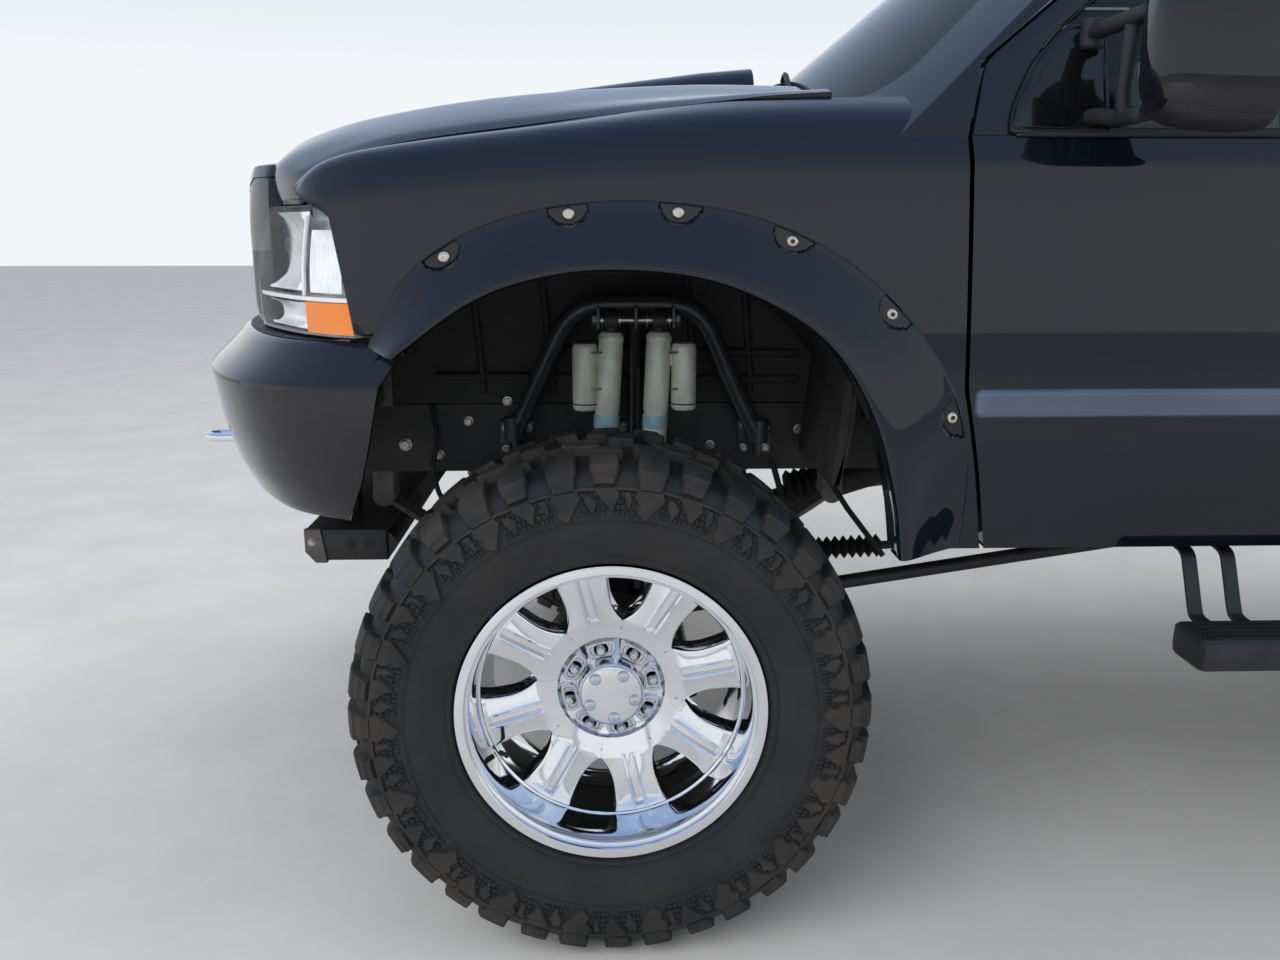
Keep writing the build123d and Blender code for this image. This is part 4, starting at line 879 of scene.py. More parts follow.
def scoop():
    """A cowl scoop: a long rising blister, open and dark at its rear."""
    stations = []
    # a, half width, height above the hood
    table = [(0.47, 0.262, 0.0), (0.45, 0.268, 0.006), (0.4, 0.276, 0.014), (0.3, 0.286, 0.022), (0.12, 0.298, 0.034),
             (-0.06, 0.306, 0.046), (-0.22, 0.312, 0.06), (-0.338, 0.314, 0.07)]
    count = 24
    for a, half, tall in table:
        row = []
        for i in range(-count, count + 1):
            u = i / count
            edge = 1 - max(0.0, (abs(u) - 0.8) / 0.2) ** 2.2
            y = half * u + 0.03 * (u ** 3)
            wide = curve_through(hood_rows, a, 1)
            base = hood_point(a, abs(y) / wide)[1]
            row.append(Vector((a, y, base - 0.001 + tall * max(0.0, edge) ** 0.7 + 0.001 * (1 - abs(u)))))
        stations.append(row)
    return stations


hood_build = hood_panel()
scoop_rows = scoop()
hood_build.grid(scoop_rows)
mouth = scoop_rows[-1]
lip_floor, throat_floor = hood_point(-0.338, 0.2)[1] - 0.004, hood_point(-0.22, 0.2)[1] - 0.006
hood_build.grid([mouth, [p + Vector((-0.004, 0, -0.003)) for p in mouth],
                 [Vector((p.x + 0.004, p.y * 0.985, max(p.z - 0.007, lip_floor))) for p in mouth],
                 [Vector((p.x + 0.12, p.y * 0.97, max(p.z - 0.016, throat_floor))) for p in mouth]], mat=1)
hood_build.move(to_front)
hood_build.make("hood_skin", [paint, trim], "hood", ["hood"], slot="body_paint", crease=26)


# Flares

front_outer = [(0.441, 1.188), (0.436, 1.206), (0.373, 1.313), (0.264, 1.391), (0.121, 1.438), (-0.056, 1.452),
               (-0.235, 1.431), (-0.38, 1.377), (-0.492, 1.3), (-0.591, 1.192), (-0.653, 1.08), (-0.68, 0.955),
               (-0.688, 0.792)]
front_inner = [(0.392, 1.176), (0.365, 1.198), (0.26, 1.272), (0.155, 1.315), (0.015, 1.336), (-0.159, 1.323),
               (-0.301, 1.271), (-0.411, 1.191), (-0.489, 1.065), (-0.534, 0.915), (-0.552, 0.792)]
rear_outer = [(0.688, 0.792), (0.68, 0.955), (0.653, 1.085), (0.543, 1.252), (0.38, 1.377), (0.2, 1.435), (0.0, 1.452),
              (-0.2, 1.435), (-0.38, 1.377), (-0.543, 1.252), (-0.653, 1.085), (-0.68, 0.955), (-0.688, 0.792)]
rear_inner = [(0.562, 0.792), (0.545, 0.9), (0.5, 1.05), (0.41, 1.18), (0.3, 1.27), (0.155, 1.325), (0.0, 1.34),
              (-0.155, 1.325), (-0.3, 1.27), (-0.41, 1.18), (-0.5, 1.05), (-0.545, 0.9), (-0.562, 0.792)]


def evenly(points, count):
    """A smooth line through (a, z) points, cut into even runs."""
    return walk(smooth_path([(a, 0, z) for a, z in points], 12), [k / count for k in range(count + 1)])


flare_lip_y = 1.044


def flare(outer_line, inner_line, pocket_shares, wall_y):
    """A pocket flare: a stepped edge on the body, a hollow sweep out to a rolled lip, and D-shaped bolt pockets."""
    build, bolts = Build(), Build()
    length_steps = 300
    outer, inner = evenly(outer_line, length_steps), evenly(inner_line, length_steps)
    run = sum((q - p).length for p, q in zip(outer, outer[1:]))
    # share from outer edge to lip, share of the way out
    section = [(0.0, -0.02), (0.0, 0.05), (0.006, 0.1), (0.02, 0.125), (0.06, 0.14), (0.12, 0.17), (0.18, 0.215),
               (0.24, 0.265), (0.3, 0.32), (0.36, 0.38), (0.43, 0.45), (0.51, 0.53), (0.6, 0.63), (0.7, 0.74),
               (0.8, 0.85), (0.88, 0.93), (0.94, 0.975), (0.975, 0.995), (1.0, 1.0)]
    fine = []
    for (u0, v0), (u1, v1) in zip(section[3:], section[4:]):
        fine += [(u0 + (u1 - u0) * k / 2, v0 + (v1 - v0) * k / 2) for k in range(2)]
    section = section[:3] + fine + [section[-1]]
    rows = []
    for k, (p, q) in enumerate(zip(outer, inner)):
        share = k / length_steps
        base = wall_y(p.x, p.z)
        row = []
        span = (q - p).length
        for u, v in section:
            flat = p.lerp(q, u)
            y = base + (flare_lip_y - base) * max(v, 0) + (0.0 if v > 0 else -0.004)
            sunk = 0.0
            for at in pocket_shares:
                along = (share - at) * run
                down = u * span - 0.004
                if down < 0 or abs(along) > 0.045:
                    continue
                reach = 0.036 * math.sqrt(max(0.0, 1 - (along / 0.037) ** 2))
                gap = min(reach - down, down + 0.004)
                sunk = max(sunk, 0.0165 * min(1.0, max(0.0, gap / 0.0055)) * min(1.0, (down + 0.012) / 0.02))
            row.append(Vector((flat.x, y - sunk, flat.z)))
        toward = (q - p).normalized()
        lip = row[-1]
        for du, dy in ((0.004, -0.001), (0.007, -0.0045), (0.0075, -0.012), (0.0055, -0.03), (0.004, -0.06),
                       (0.003, -0.11)):
            row.append(Vector((lip.x, lip.y + dy, lip.z)) + toward * du)
        rows.append(row)
    build.grid(rows)
    for end in (rows[0], rows[-1]):
        back = [Vector((p.x, min(p.y - 0.004, 0.97), p.z)) for p in end]
        build.grid([end, back])
    for at in pocket_shares:
        k = round(at * length_steps)
        p, q = outer[k], inner[k]
        toward = (q - p).normalized()
        base = wall_y(p.x, p.z)
        spot = p + toward * 0.018
        y = base + (flare_lip_y - base) * straight(section, 0.018 / (q - p).length) - 0.0155
        axis = Vector((0, 1, 0))
        bolts.turned(Vector((spot.x, y, spot.z)), axis, [(-0.002, 0.0168), (0.0022, 0.0168), (0.003, 0.012)], 28)
        bolt_head(bolts, Vector((spot.x, y + 0.0025, spot.z)), axis, 0.0125, button=True)
    return build, bolts


front_pockets = (0.14, 0.29, 0.415, 0.545, 0.69, 0.835)
rear_pockets = (0.085, 0.25, 0.417, 0.583, 0.75, 0.915)
for axle_name, axle, outer_line, inner_line, pockets, wall in (
        ("front", front, front_outer, front_inner, front_pockets, fender_y),
        ("rear", rear, rear_outer, rear_inner, rear_pockets, lambda a, z: side_y(z))):
    form, fixings = flare(outer_line, inner_line, pockets, wall)
    place = Matrix.Translation((axle, 0, 0))
    both_sides(form.move(place), f"flare_{axle_name}_{{}}", paint, "chassis", ["fender_flares"], slot="body_paint",
               crease=34)
    both_sides(fixings.move(place), f"flare_bolts_{axle_name}_{{}}", stainless, "chassis")


# Nose: bumper, grille, headlamps

bumper_plan = [(0.39, 0.99), (0.47, 0.984), (0.56, 0.962), (0.64, 0.925), (0.72, 0.86), (0.8, 0.74), (0.87, 0.575),
               (0.925, 0.385), (0.955, 0.195), (0.965, 0.0)]
# height, how far the face is set in
bumper_levels = [(0.842, 0.105), (0.85, 0.078), (0.868, 0.062), (0.93, 0.034), (1.01, 0.013), (1.08, 0.003),
                 (1.106, 0.0), (1.114, 0.001), (1.12, 0.006), (1.128, 0.014), (1.156, 0.044), (1.18, 0.066),
                 (1.189, 0.074), (1.194, 0.084), (1.194, 0.11), (1.188, 0.118)]
bumper_ends = [(0.842, 0.512), (0.9, 0.48), (1.0, 0.452), (1.117, 0.426), (1.166, 0.392), (1.2, 0.392)]


def bumper_row(z, inset, count=64):
    """The bumper's face at a height, from its left end to the middle."""
    line = smooth_path([(a - inset, y - inset * 0.35 * (y > 0), z) for a, y in bumper_plan], 8)
    limit = straight(bumper_ends, z)
    line = [p for p in line if p.x >= limit] or line[-2:]
    first = Vector((limit, line[0].y + 0.0005, z))
    return walk([first] + line, [(k / count) ** 1.15 for k in range(count + 1)])


def bumper():
    """The moulded bumper skin: a bright upper chamfer over a dark face that runs in below, folded at its ends."""
    rows = []
    for z, inset in bumper_levels:
        half = bumper_row(z, inset)
        left = [half[0] + Vector((0.012, -0.03, 0)), half[0] + Vector((-0.002, -0.004, 0))] + half
        rows.append(left + other_half(left))
    chamfer = next(k for k, (z, _) in enumerate(bumper_levels) if z > 1.105)
    return Build().grid(rows[:chamfer + 1], mat=1).grid(rows[chamfer:])


def bumper_band(build, row_z, start, levels):
    """A dark band that follows the bumper's line at row_z; levels are (inset, height)."""
    rows = []
    for inset, z in levels:
        half = [Vector((p.x, p.y, z)) for p in bumper_row(row_z, inset, 40)[start:]]
        rows.append(half + other_half(half))
    build.grid(rows, mat=2)


bumper_form = bumper()
# step pad on top
bumper_band(bumper_form, 1.19, 6, [(0.084, 1.1955), (0.09, 1.1975), (0.15, 1.1975), (0.156, 1.193)])
for s in (1, -1):
    hook = [(0.8, 0.425), (0.88, 0.425), (0.912, 0.427), (0.93, 0.438), (0.934, 0.45), (0.93, 0.462), (0.912, 0.473),
            (0.88, 0.475), (0.8, 0.475)]
    bumper_form.tube(smooth_path([(a, s * y, 0.93) for a, y in hook], 4), 0.0105, 14, mat=3)
    bumper_form.side_box(s, (0.7, 0.39, 0.885), (0.835, 0.5, 0.975), 0.008, mat=2)
# low intake: a dark back and seven thin bars
bumper_form.grid([[Vector((0.875 + 0.012 * math.cos(k * 0.14), k * 0.034, z)) for k in range(-10, 11)]
                  for z in (0.893, 0.982)], mat=2)
for k in range(7):
    z = 0.9 + 0.0128 * k
    bumper_form.tube([(0.88 + 0.01 * math.cos(u * 1.4), u * 0.33, z) for u in [j / 8 for j in range(-8, 9)]], 0.0026, 6,
                     mat=2)
# valance underneath
bumper_band(bumper_form, 0.85, 14, [(0.1, 0.846), (0.112, 0.836), (0.128, 0.812), (0.14, 0.806), (0.15, 0.812)])
bumper_form.move(to_front)
bumper_form.make("bumper_front_skin", [paint, gloss, trim, chrome], "chassis", ["front_bumper"], slot="body_paint",
                 crease=24)


# Grille: a gloss surround that leans out over a dark mesh

def grille_outline(grow):
    """The grille opening's rounded outline, larger by grow."""
    corners = [((-0.6, 1.206), 0.04), ((0.6, 1.206), 0.04), ((0.61, 1.47), 0.07), ((0.56, 1.52), 0.034),
               ((0.46, 1.532), 0.06), ((-0.46, 1.532), 0.06), ((-0.56, 1.52), 0.034), ((-0.61, 1.47), 0.07)]
    pts = [Vector(corner) for corner, _ in corners]
    middle_z, steps = 1.37, 16
    out = []
    for i, (corner, r) in enumerate(corners):
        p, before, after = pts[i], pts[i - 1], pts[(i + 1) % len(pts)]
        start, end = p + (before - p).normalized() * r, p + (after - p).normalized() * r
        for t in (k / steps for k in range(steps + 1)):
            q = start * (1 - t) ** 2 + p * 2 * t * (1 - t) + end * t ** 2
            out.append(q + Vector((grow * math.copysign(min(1, abs(q.x) / 0.5), q.x),
                                   min(grow, 0.01) * math.copysign(1, q.y - middle_z))))
    return out


def grille_bow(a, y):
    """The place of a grille part that follows the nose's bow."""
    return a - 0.03 * (y / 0.6) ** 2


def grille():
    """The surround, three oval cross bars and the square mesh behind them."""
    build = Build()
    rings = [(0.7, 0.082), (0.718, 0.084), (0.728, 0.081), (0.74, 0.066), (0.756, 0.042), (0.771, 0.018),
             (0.783, -0.002), (0.789, -0.018), (0.788, -0.028), (0.78, -0.037), (0.766, -0.043), (0.742, -0.047),
             (0.722, -0.049)]
    build.grid([[Vector((grille_bow(a, p.x), p.x, p.y)) for p in grille_outline(grow)] for a, grow in rings],
               close_u=True)
    for z in (1.29, 1.368, 1.446):
        bar = [Vector((grille_bow(0.772, y), y, z)) for y in [k * 0.0556 for k in range(-10, 11)]]
        build.grid([[p + Vector((0.012 * math.cos(t), 0, 0.017 * math.sin(t))) for p in bar] for t in turns(12)],
                   close_v=True)
    mesh_pitch = 0.0295
    for y in [k * mesh_pitch for k in range(-18, 19)]:
        build.box((grille_bow(0.726, y), y - 0.0022, 1.252), (grille_bow(0.752, y), y + 0.0022, 1.488), 0.0006, 1)
    for z in [1.262 + mesh_pitch * k for k in range(8)]:
        build.tube([(grille_bow(0.74, y), y, z) for y in [k * 0.0555 for k in range(-10, 11)]], 0.0026, 6, 1)
    return build.move(to_front)


grille().make("grille_surround", [gloss, trim], "chassis", ["grille"], slot="gloss_black", crease=30)


# Headlamps: housing, ribbed reflectors, amber marker, clear outer lens

lamp_plan = [(0.467, 0.962), (0.515, 0.934), (0.562, 0.892), (0.602, 0.848), (0.64, 0.796), (0.676, 0.74),
             (0.706, 0.69), (0.738, 0.624)]
lamp_low, lamp_top = 1.2045, 1.4455


def lamp_point(u, z, inset=0.0):
    """A point of the lamp's face: u runs from its rear edge to the grille."""
    lean = (z - lamp_low) / (lamp_top - lamp_low)
    line = smooth_path([(a, y, 0) for a, y in lamp_plan], 6)
    lengths = [0.0]
    for p, q in zip(line, line[1:]):
        lengths.append(lengths[-1] + (q - p).length)
    want = lengths[-1] * u
    i = max(k for k in range(len(lengths) - 1) if lengths[k] <= want)
    t = (want - lengths[i]) / (lengths[i + 1] - lengths[i])
    p, tangent = line[i].lerp(line[i + 1], t), (line[i + 1] - line[i]).normalized()
    normal = Vector((-tangent.y, tangent.x, 0))
    if normal.x < 0:
        normal = -normal
    bulge = 0.006 * math.sin(math.pi * min(1, max(0, lean)))
    fall = -0.018 * lean ** 2
    p = p + normal * (bulge + fall - inset)
    return Vector((p.x, p.y, z))


def lamp_edge(z):
    """Where the lamp's leaning rear edge lies along its face at a height."""
    return straight([(lamp_low, 0.0), (1.293, 0.03), (1.4, 0.085), (1.427, 0.13), (lamp_top, 0.25)], z)


def lamp_sheet(u_range, z_range, inset, nu=24, nz=16):
    """A sheet that follows the lamp's face and its leaning rear edge."""
    rows = []
    for j in range(nz + 1):
        z = z_range[0] + (z_range[1] - z_range[0]) * j / nz
        start = max(u_range[0], lamp_edge(z) + (0.012 if inset > 0.002 else 0.0))
        rows.append([lamp_point(start + (u_range[1] - start) * i / nu, z, inset) for i in range(nu + 1)])
    return rows


def closed_sheet(build, outer, inner, mat=0):
    """Two sheets joined round their edges."""
    build.grid(outer, mat=mat)
    build.grid(inner, mat=mat)
    for a, b in ((outer[0], inner[0]), (outer[-1], inner[-1]), ([r[0] for r in outer], [r[0] for r in inner]),
                 ([r[-1] for r in outer], [r[-1] for r in inner])):
        build.grid([a, b], mat=mat)


def reflector_bowl(build, u, z, wide, tall, depth, mat, ribs=0):
    """A rounded bright bowl set into the lamp, with vertical ribs where asked."""
    rows = []
    for j in range(13):
        t = j / 12
        row = []
        for i in range(25):
            s = i / 24
            x, y = (s - 0.5) * 2, (t - 0.5) * 2
            dish = depth * (1 - min(1.0, (abs(x) ** 3 + abs(y) ** 3)))
            rib = 0.0015 * math.sin(2 * math.pi * ribs * s) if ribs else 0.0
            zz = z + tall * y / 2
            row.append(lamp_point(max(lamp_edge(zz) + 0.02, u + wide * x / 2), zz, 0.016 + dish + rib))
        rows.append(row)
    build.grid(rows, mat=mat)


def headlamp():
    """The left headlamp in three forms: housing with bowls and divider, amber marker, and clear outer lens."""
    inner, outer = Build(), Build()
    whole, back_z, face_z = (0.0, 1.0), (1.206, 1.444), (1.205, 1.445)
    closed_sheet(inner, lamp_sheet(whole, back_z, 0.062), lamp_sheet(whole, back_z, 0.085))
    edge_rows = []
    for inset in (0.0035, 0.075):
        left = [lamp_point(lamp_edge(z), z, inset) for z in [1.205 + 0.24 * k / 24 for k in range(25)]]
        top = [lamp_point(lamp_edge(1.445) + (1 - lamp_edge(1.445)) * k / 16, 1.445, inset) for k in range(1, 17)]
        right = [lamp_point(1.0, 1.445 - 0.24 * k / 16, inset) for k in range(1, 17)]
        low = [lamp_point(1 - k / 24, 1.205, inset) for k in range(1, 24)]
        edge_rows.append(left + top + right + low)
    inner.grid(edge_rows, close_u=True, mat=0)
    reflector_bowl(inner, 0.66, 1.36, 0.6, 0.148, 0.04, 1, 0)
    reflector_bowl(inner, 0.205, 1.342, 0.235, 0.116, 0.016, 1, 9)
    reflector_bowl(inner, 0.66, 1.238, 0.62, 0.05, 0.02, 1, 14)
    bulb = lamp_point(0.66, 1.368, 0.05)
    face = (lamp_point(0.66, 1.368, 0.0) - bulb).normalized()
    inner.turned(bulb, face, [(0, 0.016), (0.018, 0.016), (0.026, 0.0145), (0.028, 0.008), (0.0285, 0.001)], 24, 2)
    divider = [[lamp_point(lamp_edge(z) + (1 - lamp_edge(z)) * k / 30, z, 0.006) for k in range(31)]
               for z in (1.269, 1.2765)]
    closed_sheet(inner, divider, [[p + Vector((-0.02, -0.02, 0)) for p in row] for row in divider], 1)
    frame_line = [lamp_point(0.345, z, 0.008) for z in [1.278 + 0.0078 * k for k in range(20)]]
    inner.tube(frame_line, 0.0035, 8, 1)
    amber = Build()
    closed_sheet(amber, *(lamp_sheet((0.0, 0.325), (1.209, 1.267), inset, 14, 8) for inset in (0.004, 0.01)))
    closed_sheet(outer, *(lamp_sheet(whole, face_z, inset, 40, 24) for inset in (0.0, 0.003)))
    return inner, amber, outer


for part_name, form, finish in zip(("housing", "marker", "lens"), headlamp(),
                                   ([reflector, reflector, clear_lens], amber_lens, clear_lens)):
    both_sides(form.move(to_front), f"headlamp_{part_name}_{{}}", finish, "chassis",
               ["headlamps"] if part_name == "housing" else (), slot="lamp", crease=35)


# Wheel arch: hoops, shocks, inner panels, frame bolts, hoses

pin_y, pin_z = 0.6, 1.208
rail_y = 0.4455


def hoops():
    """A bent tube hoop and a centre strut on each side, with pin tabs and foot plates on the frame."""
    build = Build()
    arc = [(0.216, 0.5, 0.94), (0.205, 0.504, 0.97), (0.16, 0.526, 1.07), (0.118, 0.548, 1.156), (0.094, 0.56, 1.2),
           (0.06, 0.568, 1.228), (0.02, 0.57, 1.239), (-0.06, 0.57, 1.241), (-0.14, 0.57, 1.239),
           (-0.182, 0.568, 1.227), (-0.216, 0.56, 1.196), (-0.24, 0.548, 1.15), (-0.276, 0.53, 1.07),
           (-0.33, 0.506, 0.96), (-0.345, 0.5, 0.93)]
    build.tube(smooth_path(arc, 5), 0.02, 24)
    build.tube([(-0.06, 0.566, 1.235), (-0.06, 0.52, 1.08), (-0.06, 0.474, 0.94)], 0.014, 18)
    for a, z in ((0.2165, 0.94), (-0.345, 0.93)):
        build.turned((a, 0.5, z - 0.012), (0.06 if a > 0 else -0.06, -0.02, 1),
                     [(0, 0.0245), (0.05, 0.0245), (0.054, 0.0205)], 24)
    for a in (0.216, -0.06, -0.345):
        build.box((a - 0.04, rail_y, 0.88), (a + 0.04, 0.452, 0.96), 0.002)
        build.box((a - 0.006, 0.452, 0.884), (a + 0.006, 0.512, 0.95), 0.002)
        for du, dz in ((-0.026, 0.014), (0.026, 0.014), (-0.026, 0.064), (0.026, 0.064)):
            bolt_head(build, (a + du, 0.452, 0.88 + dz), (0, 1, 0), 0.0075, 1)
    for a in (0.022, -0.06, -0.142):
        build.box((a - 0.0035, 0.568, 1.19), (a + 0.0035, 0.619, 1.238), 0.003)
    build.turned((-0.156, pin_y, pin_z), (1, 0, 0), [(0, 0.0088), (0.19, 0.0088)], 18, 1)
    for a in (0.027, -0.156):
        build.turned((a, pin_y, pin_z), (1, 0, 0), [(0, 0.0135), (0.008, 0.0135), (0.009, 0.012)], 6, 1)
    for a in (0.012, -0.026, -0.086, -0.134):
        build.turned((a, pin_y, pin_z), (1, 0, 0), [(0, 0.0165), (0.0035, 0.0165)], 20, 1)
    return build


def shocks():
    """Two long shocks and their reservoirs on each side, eye bushes on the pin, clamps and ports."""
    build = Build()
    for top, low, can in ((-0.006, 0.014, 0.052), (-0.111, -0.096, -0.165)):
        a, b = Vector((top, pin_y, 1.18)), Vector((low, pin_y, 0.845))
        down = (b - a).normalized()
        reach = (b - a).length
        build.turned(a - down * 0.004, down, [(0, 0.014), (0.002, 0.022), (0.009, 0.0268), (0.014, 0.028),
                                              (0.022, 0.028), (0.024, 0.0268), (0.03, 0.0268), (0.032, 0.0278),
                                              (reach - 0.162, 0.0278), (reach - 0.158, 0.0262),
                                              (reach - 0.152, 0.0262)], 32)
        build.turned(a + down * (reach - 0.156), down, [(0, 0.027), (0.002, 0.0284), (0.026, 0.0284), (0.03, 0.027)],
                     32, 1)
        build.turned(a + down * (reach - 0.13), down, [(0, 0.027), (0.124, 0.027), (0.13, 0.024), (0.134, 0.016)], 32)
        build.turned(b - down * 0.004, down, [(0, 0.011), (0.225, 0.011)], 18, 3)
        build.turned(b + down * 0.15, down, [(0, 0.02), (0.01, 0.0205), (0.07, 0.0205), (0.076, 0.018)], 24, 2)
        build.turned((top - 0.0145, pin_y, pin_z), (1, 0, 0),
                     [(0, 0.0205), (0.002, 0.0218), (0.027, 0.0218), (0.029, 0.0205)], 28, 2)
        for end in (-0.015, 0.0145):
            build.turned((top + end, pin_y, pin_z), (1, 0, 0), [(0, 0.015), (0.0005, 0.015)], 20, 4)
        build.tube([(top, pin_y, pin_z - 0.015), (top, pin_y, pin_z - 0.03), (top, pin_y, 1.176)],
                   [0.015, 0.0125, 0.017], 18, 2)
        build.turned((can, pin_y, 1.01), (0, 0, 1), [(0, 0.016), (0.001, 0.023), (0.004, 0.0262), (0.01, 0.0278),
                                                     (0.138, 0.0278), (0.144, 0.0262), (0.148, 0.0225), (0.1482, 0.01)],
                     32)
        build.turned((can, pin_y, 1.024), (0, 0, 1), [(0, 0.0284), (0.003, 0.0284)], 32, 2)
        mid, sign = (top + can) / 2, (1 if can > top else -1)
        build.box((mid - 0.014, pin_y - 0.008, 1.108), (mid + 0.014, pin_y + 0.008, 1.136), 0.003)
        for z in (1.06, 1.14):
            build.tube([(top + sign * 0.02, pin_y + 0.02, z), (mid, pin_y + 0.0265, z),
                        (can - sign * 0.014, pin_y + 0.0235, z)], 0.0022, 8, 3)
    return build


def rear_shocks():
    """One plain shock each side of the rear axle."""
    build = Build()
    offset = axle_gap
    a, b = Vector((offset + 0.15, 0.5, 0.965)), Vector((offset + 0.07, 0.5, 0.575))
    down, reach = (b - a).normalized(), (b - a).length
    build.turned(a, down, [(0, 0.02), (0.004, 0.0285), (0.19, 0.0285), (0.196, 0.025)], 28)
    build.turned(a + down * 0.19, down, [(0, 0.0105), (reach - 0.185, 0.0105)], 16, 3)
    build.turned(a + down * 0.2, down, [(0, 0.024), (0.16, 0.024), (0.164, 0.02)], 24, 2)
    build.box((offset + 0.12, rail_y, 0.94), (offset + 0.18, 0.53, 0.985), 0.004, 2)
    build.box((offset - 0.01, 0.482, 0.558), (offset + 0.095, 0.518, 0.592), 0.004, 2)
    return build


both_sides(hoops().move(to_front), "shock_hoop_{}", [hoop_grey, steel], "chassis", ["shock_hoops"], slot="frame_black")
both_sides(shocks().join(rear_shocks()).move(to_front), "shocks_{}", [shock, sleeve, trim, steel, seal], "chassis",
           ["shocks"], slot="shock_grey")


def arch_panels():
    """The pressed inner panels of the front arch: apron with ribs, rounded ceiling, rear flap."""
    build = Build()
    apron = 0.465
    # ceiling that rolls from the apron's top out to the flare
    rows = []
    for k in range(41):
        t = math.pi * (0.06 + 0.86 * k / 40)
        a = 0.58 * math.cos(t)
        row = []
        for u in [j / 14 for j in range(15)]:
            y = 0.47 + (0.965 - 0.47) * u
            swell = 0.055 * math.sin(math.pi * u) ** 0.8 * (1 - 0.3 * u)
            radius = 0.582 + swell
            z = min(arch_mid_z + radius * math.sin(t), 1.426)
            row.append(Vector((radius * math.cos(t) if u > 0.5 else a, y, max(z, 0.9))))
        rows.append(row)
    rows = [row for row in rows if -0.49 < row[0].x < 0.45]
    build.grid(rows)
    # pressed ribs on the apron
    for z, a0, a1 in ((1.06, -0.44, 0.4), (1.12, -0.44, 0.1), (1.3, -0.44, 0.36)):
        build.tube([(a0, apron, z), (a0 + 0.02, apron + 0.004, z), (a1 - 0.02, apron + 0.004, z + 0.01),
                    (a1, apron, z + 0.01)], 0.01, 10)
    for a in (-0.33, -0.2, 0.13, 0.29):
        build.tube([(a, apron, 1.03), (a, apron + 0.004, 1.06), (a + 0.02, apron + 0.004, 1.3),
                    (a + 0.02, apron, 1.33)], 0.008, 10)
    # rear flap, a bowed sheet that hangs behind the wheel
    outer, inner = [], []
    for j in range(13):
        y = apron + 0.385 * j / 12
        bow = 0.016 * math.sin(math.pi * j / 12)
        column = [(-0.4985, 1.195), (-0.5, 1.12), (-0.497, 1.02), (-0.4855, 0.95), (-0.47, 0.893)]
        outer.append([Vector((a + 0.014 - bow, y, z)) for a, z in column])
        inner.append([Vector((a + 0.005 - bow, y, z)) for a, z in column])
    build.grid(outer)
    build.grid(inner)
    for edge in (0, -1):
        build.grid([[r[edge] for r in outer], [r[edge] for r in inner]])
    build.grid([outer[-1], inner[-1]])
    return build


def arch_fixings():
    """Bolt heads, clips, brake hose and wiring in the front arch."""
    build = Build()
    for a, z, size in ((0.236, 1.01, 0.009), (0.137, 0.902, 0.01), (0.215, 0.872, 0.009), (0.48, 0.905, 0.012),
                       (-0.452, 0.936, 0.01), (-0.12, 0.905, 0.009), (-0.24, 0.9, 0.009), (0.33, 0.96, 0.009),
                       (0.4, 0.88, 0.009)):
        bolt_head(build, (a, rail_y if z < 1.0 else 0.4645, z), (0, 1, 0), size, 0)
    hose = [(-0.13, 0.45, 0.96), (-0.118, 0.5, 0.9), (-0.1, 0.56, 0.8), (-0.09, 0.61, 0.7), (-0.07, 0.64, 0.64)]
    build.tube(smooth_path(hose, 5), 0.0065, 10, 1)
    loop = [(0.3, 0.452, 0.86), (0.29, 0.47, 0.82), (0.25, 0.48, 0.8), (0.2, 0.478, 0.812), (0.19, 0.47, 0.845),
            (0.23, 0.455, 0.872)]
    build.tube(smooth_path(loop, 5), 0.005, 10, 1)
    wires = [(0.415, 0.455, 1.0), (0.4, 0.48, 0.93), (0.408, 0.5, 0.86), (0.392, 0.505, 0.79), (0.35, 0.5, 0.76),
             (0.3, 0.47, 0.79)]
    build.tube(smooth_path(wires, 5), 0.006, 10, 1)
    build.tube([(-0.39, 0.45, 0.86), (-0.43, 0.47, 0.72), (-0.452, 0.48, 0.64)], 0.0075, 12, 1)
    return build


both_sides(arch_panels().move(to_front), "arch_lining_{}", liner, "chassis", slot="black_trim", crease=50)
both_sides(arch_fixings().move(to_front), "arch_fixings_{}", [steel, seal], "chassis", slot="steel")


# Doors, mirrors, glass edges, side steps

def skin_y(z):
    """The body side's half width at any height up to the roof's edge."""
    return side_y(z) if z <= belt_z else belt_y - 0.154 * (z - belt_z) / 0.548


def rounded(points, radius, steps=6):
    """A path of (a, z) points with its inner corners rounded."""
    out = [Vector(points[0])]
    for before, at, after in zip(points, points[1:], points[2:]):
        p, q, r = Vector(before), Vector(at), Vector(after)
        start, end = (q + way.normalized() * min(radius, way.length * 0.45) for way in (p - q, r - q))
        for k in range(steps + 1):
            t = k / steps
            out.append(start * (1 - t) ** 2 + q * 2 * t * (1 - t) + end * t * t)
    out.append(Vector(points[-1]))
    return out


def rounded_loop(points, radius, steps=6):
    """A closed path with its corners rounded."""
    return rounded(points + points[:2], radius, steps)[1:-1]


def shrunk(loop, centre, shrink):
    """A loop drawn in towards a centre."""
    return [p + (centre - p).normalized() * shrink for p in loop]


def on_side(a, z, inset=0.0):
    """A point of the left side, set in from its skin."""
    return Vector((a, skin_y(z) - inset, z))


def side_frame(build, outer, inner):
    """The painted frame between a door's edge and its window, with rounded edges and an inner face."""
    profile = [(0.0, 0.055), (0.0, 0.006), (0.06, 0.001), (0.14, 0.0), (0.86, 0.0), (0.95, 0.001), (1.0, 0.006),
               (1.0, 0.055)]
    build.grid([[on_side(*p.lerp(q, share), inset) for p, q in zip(outer, inner)] for share, inset in profile],
               close_v=True)


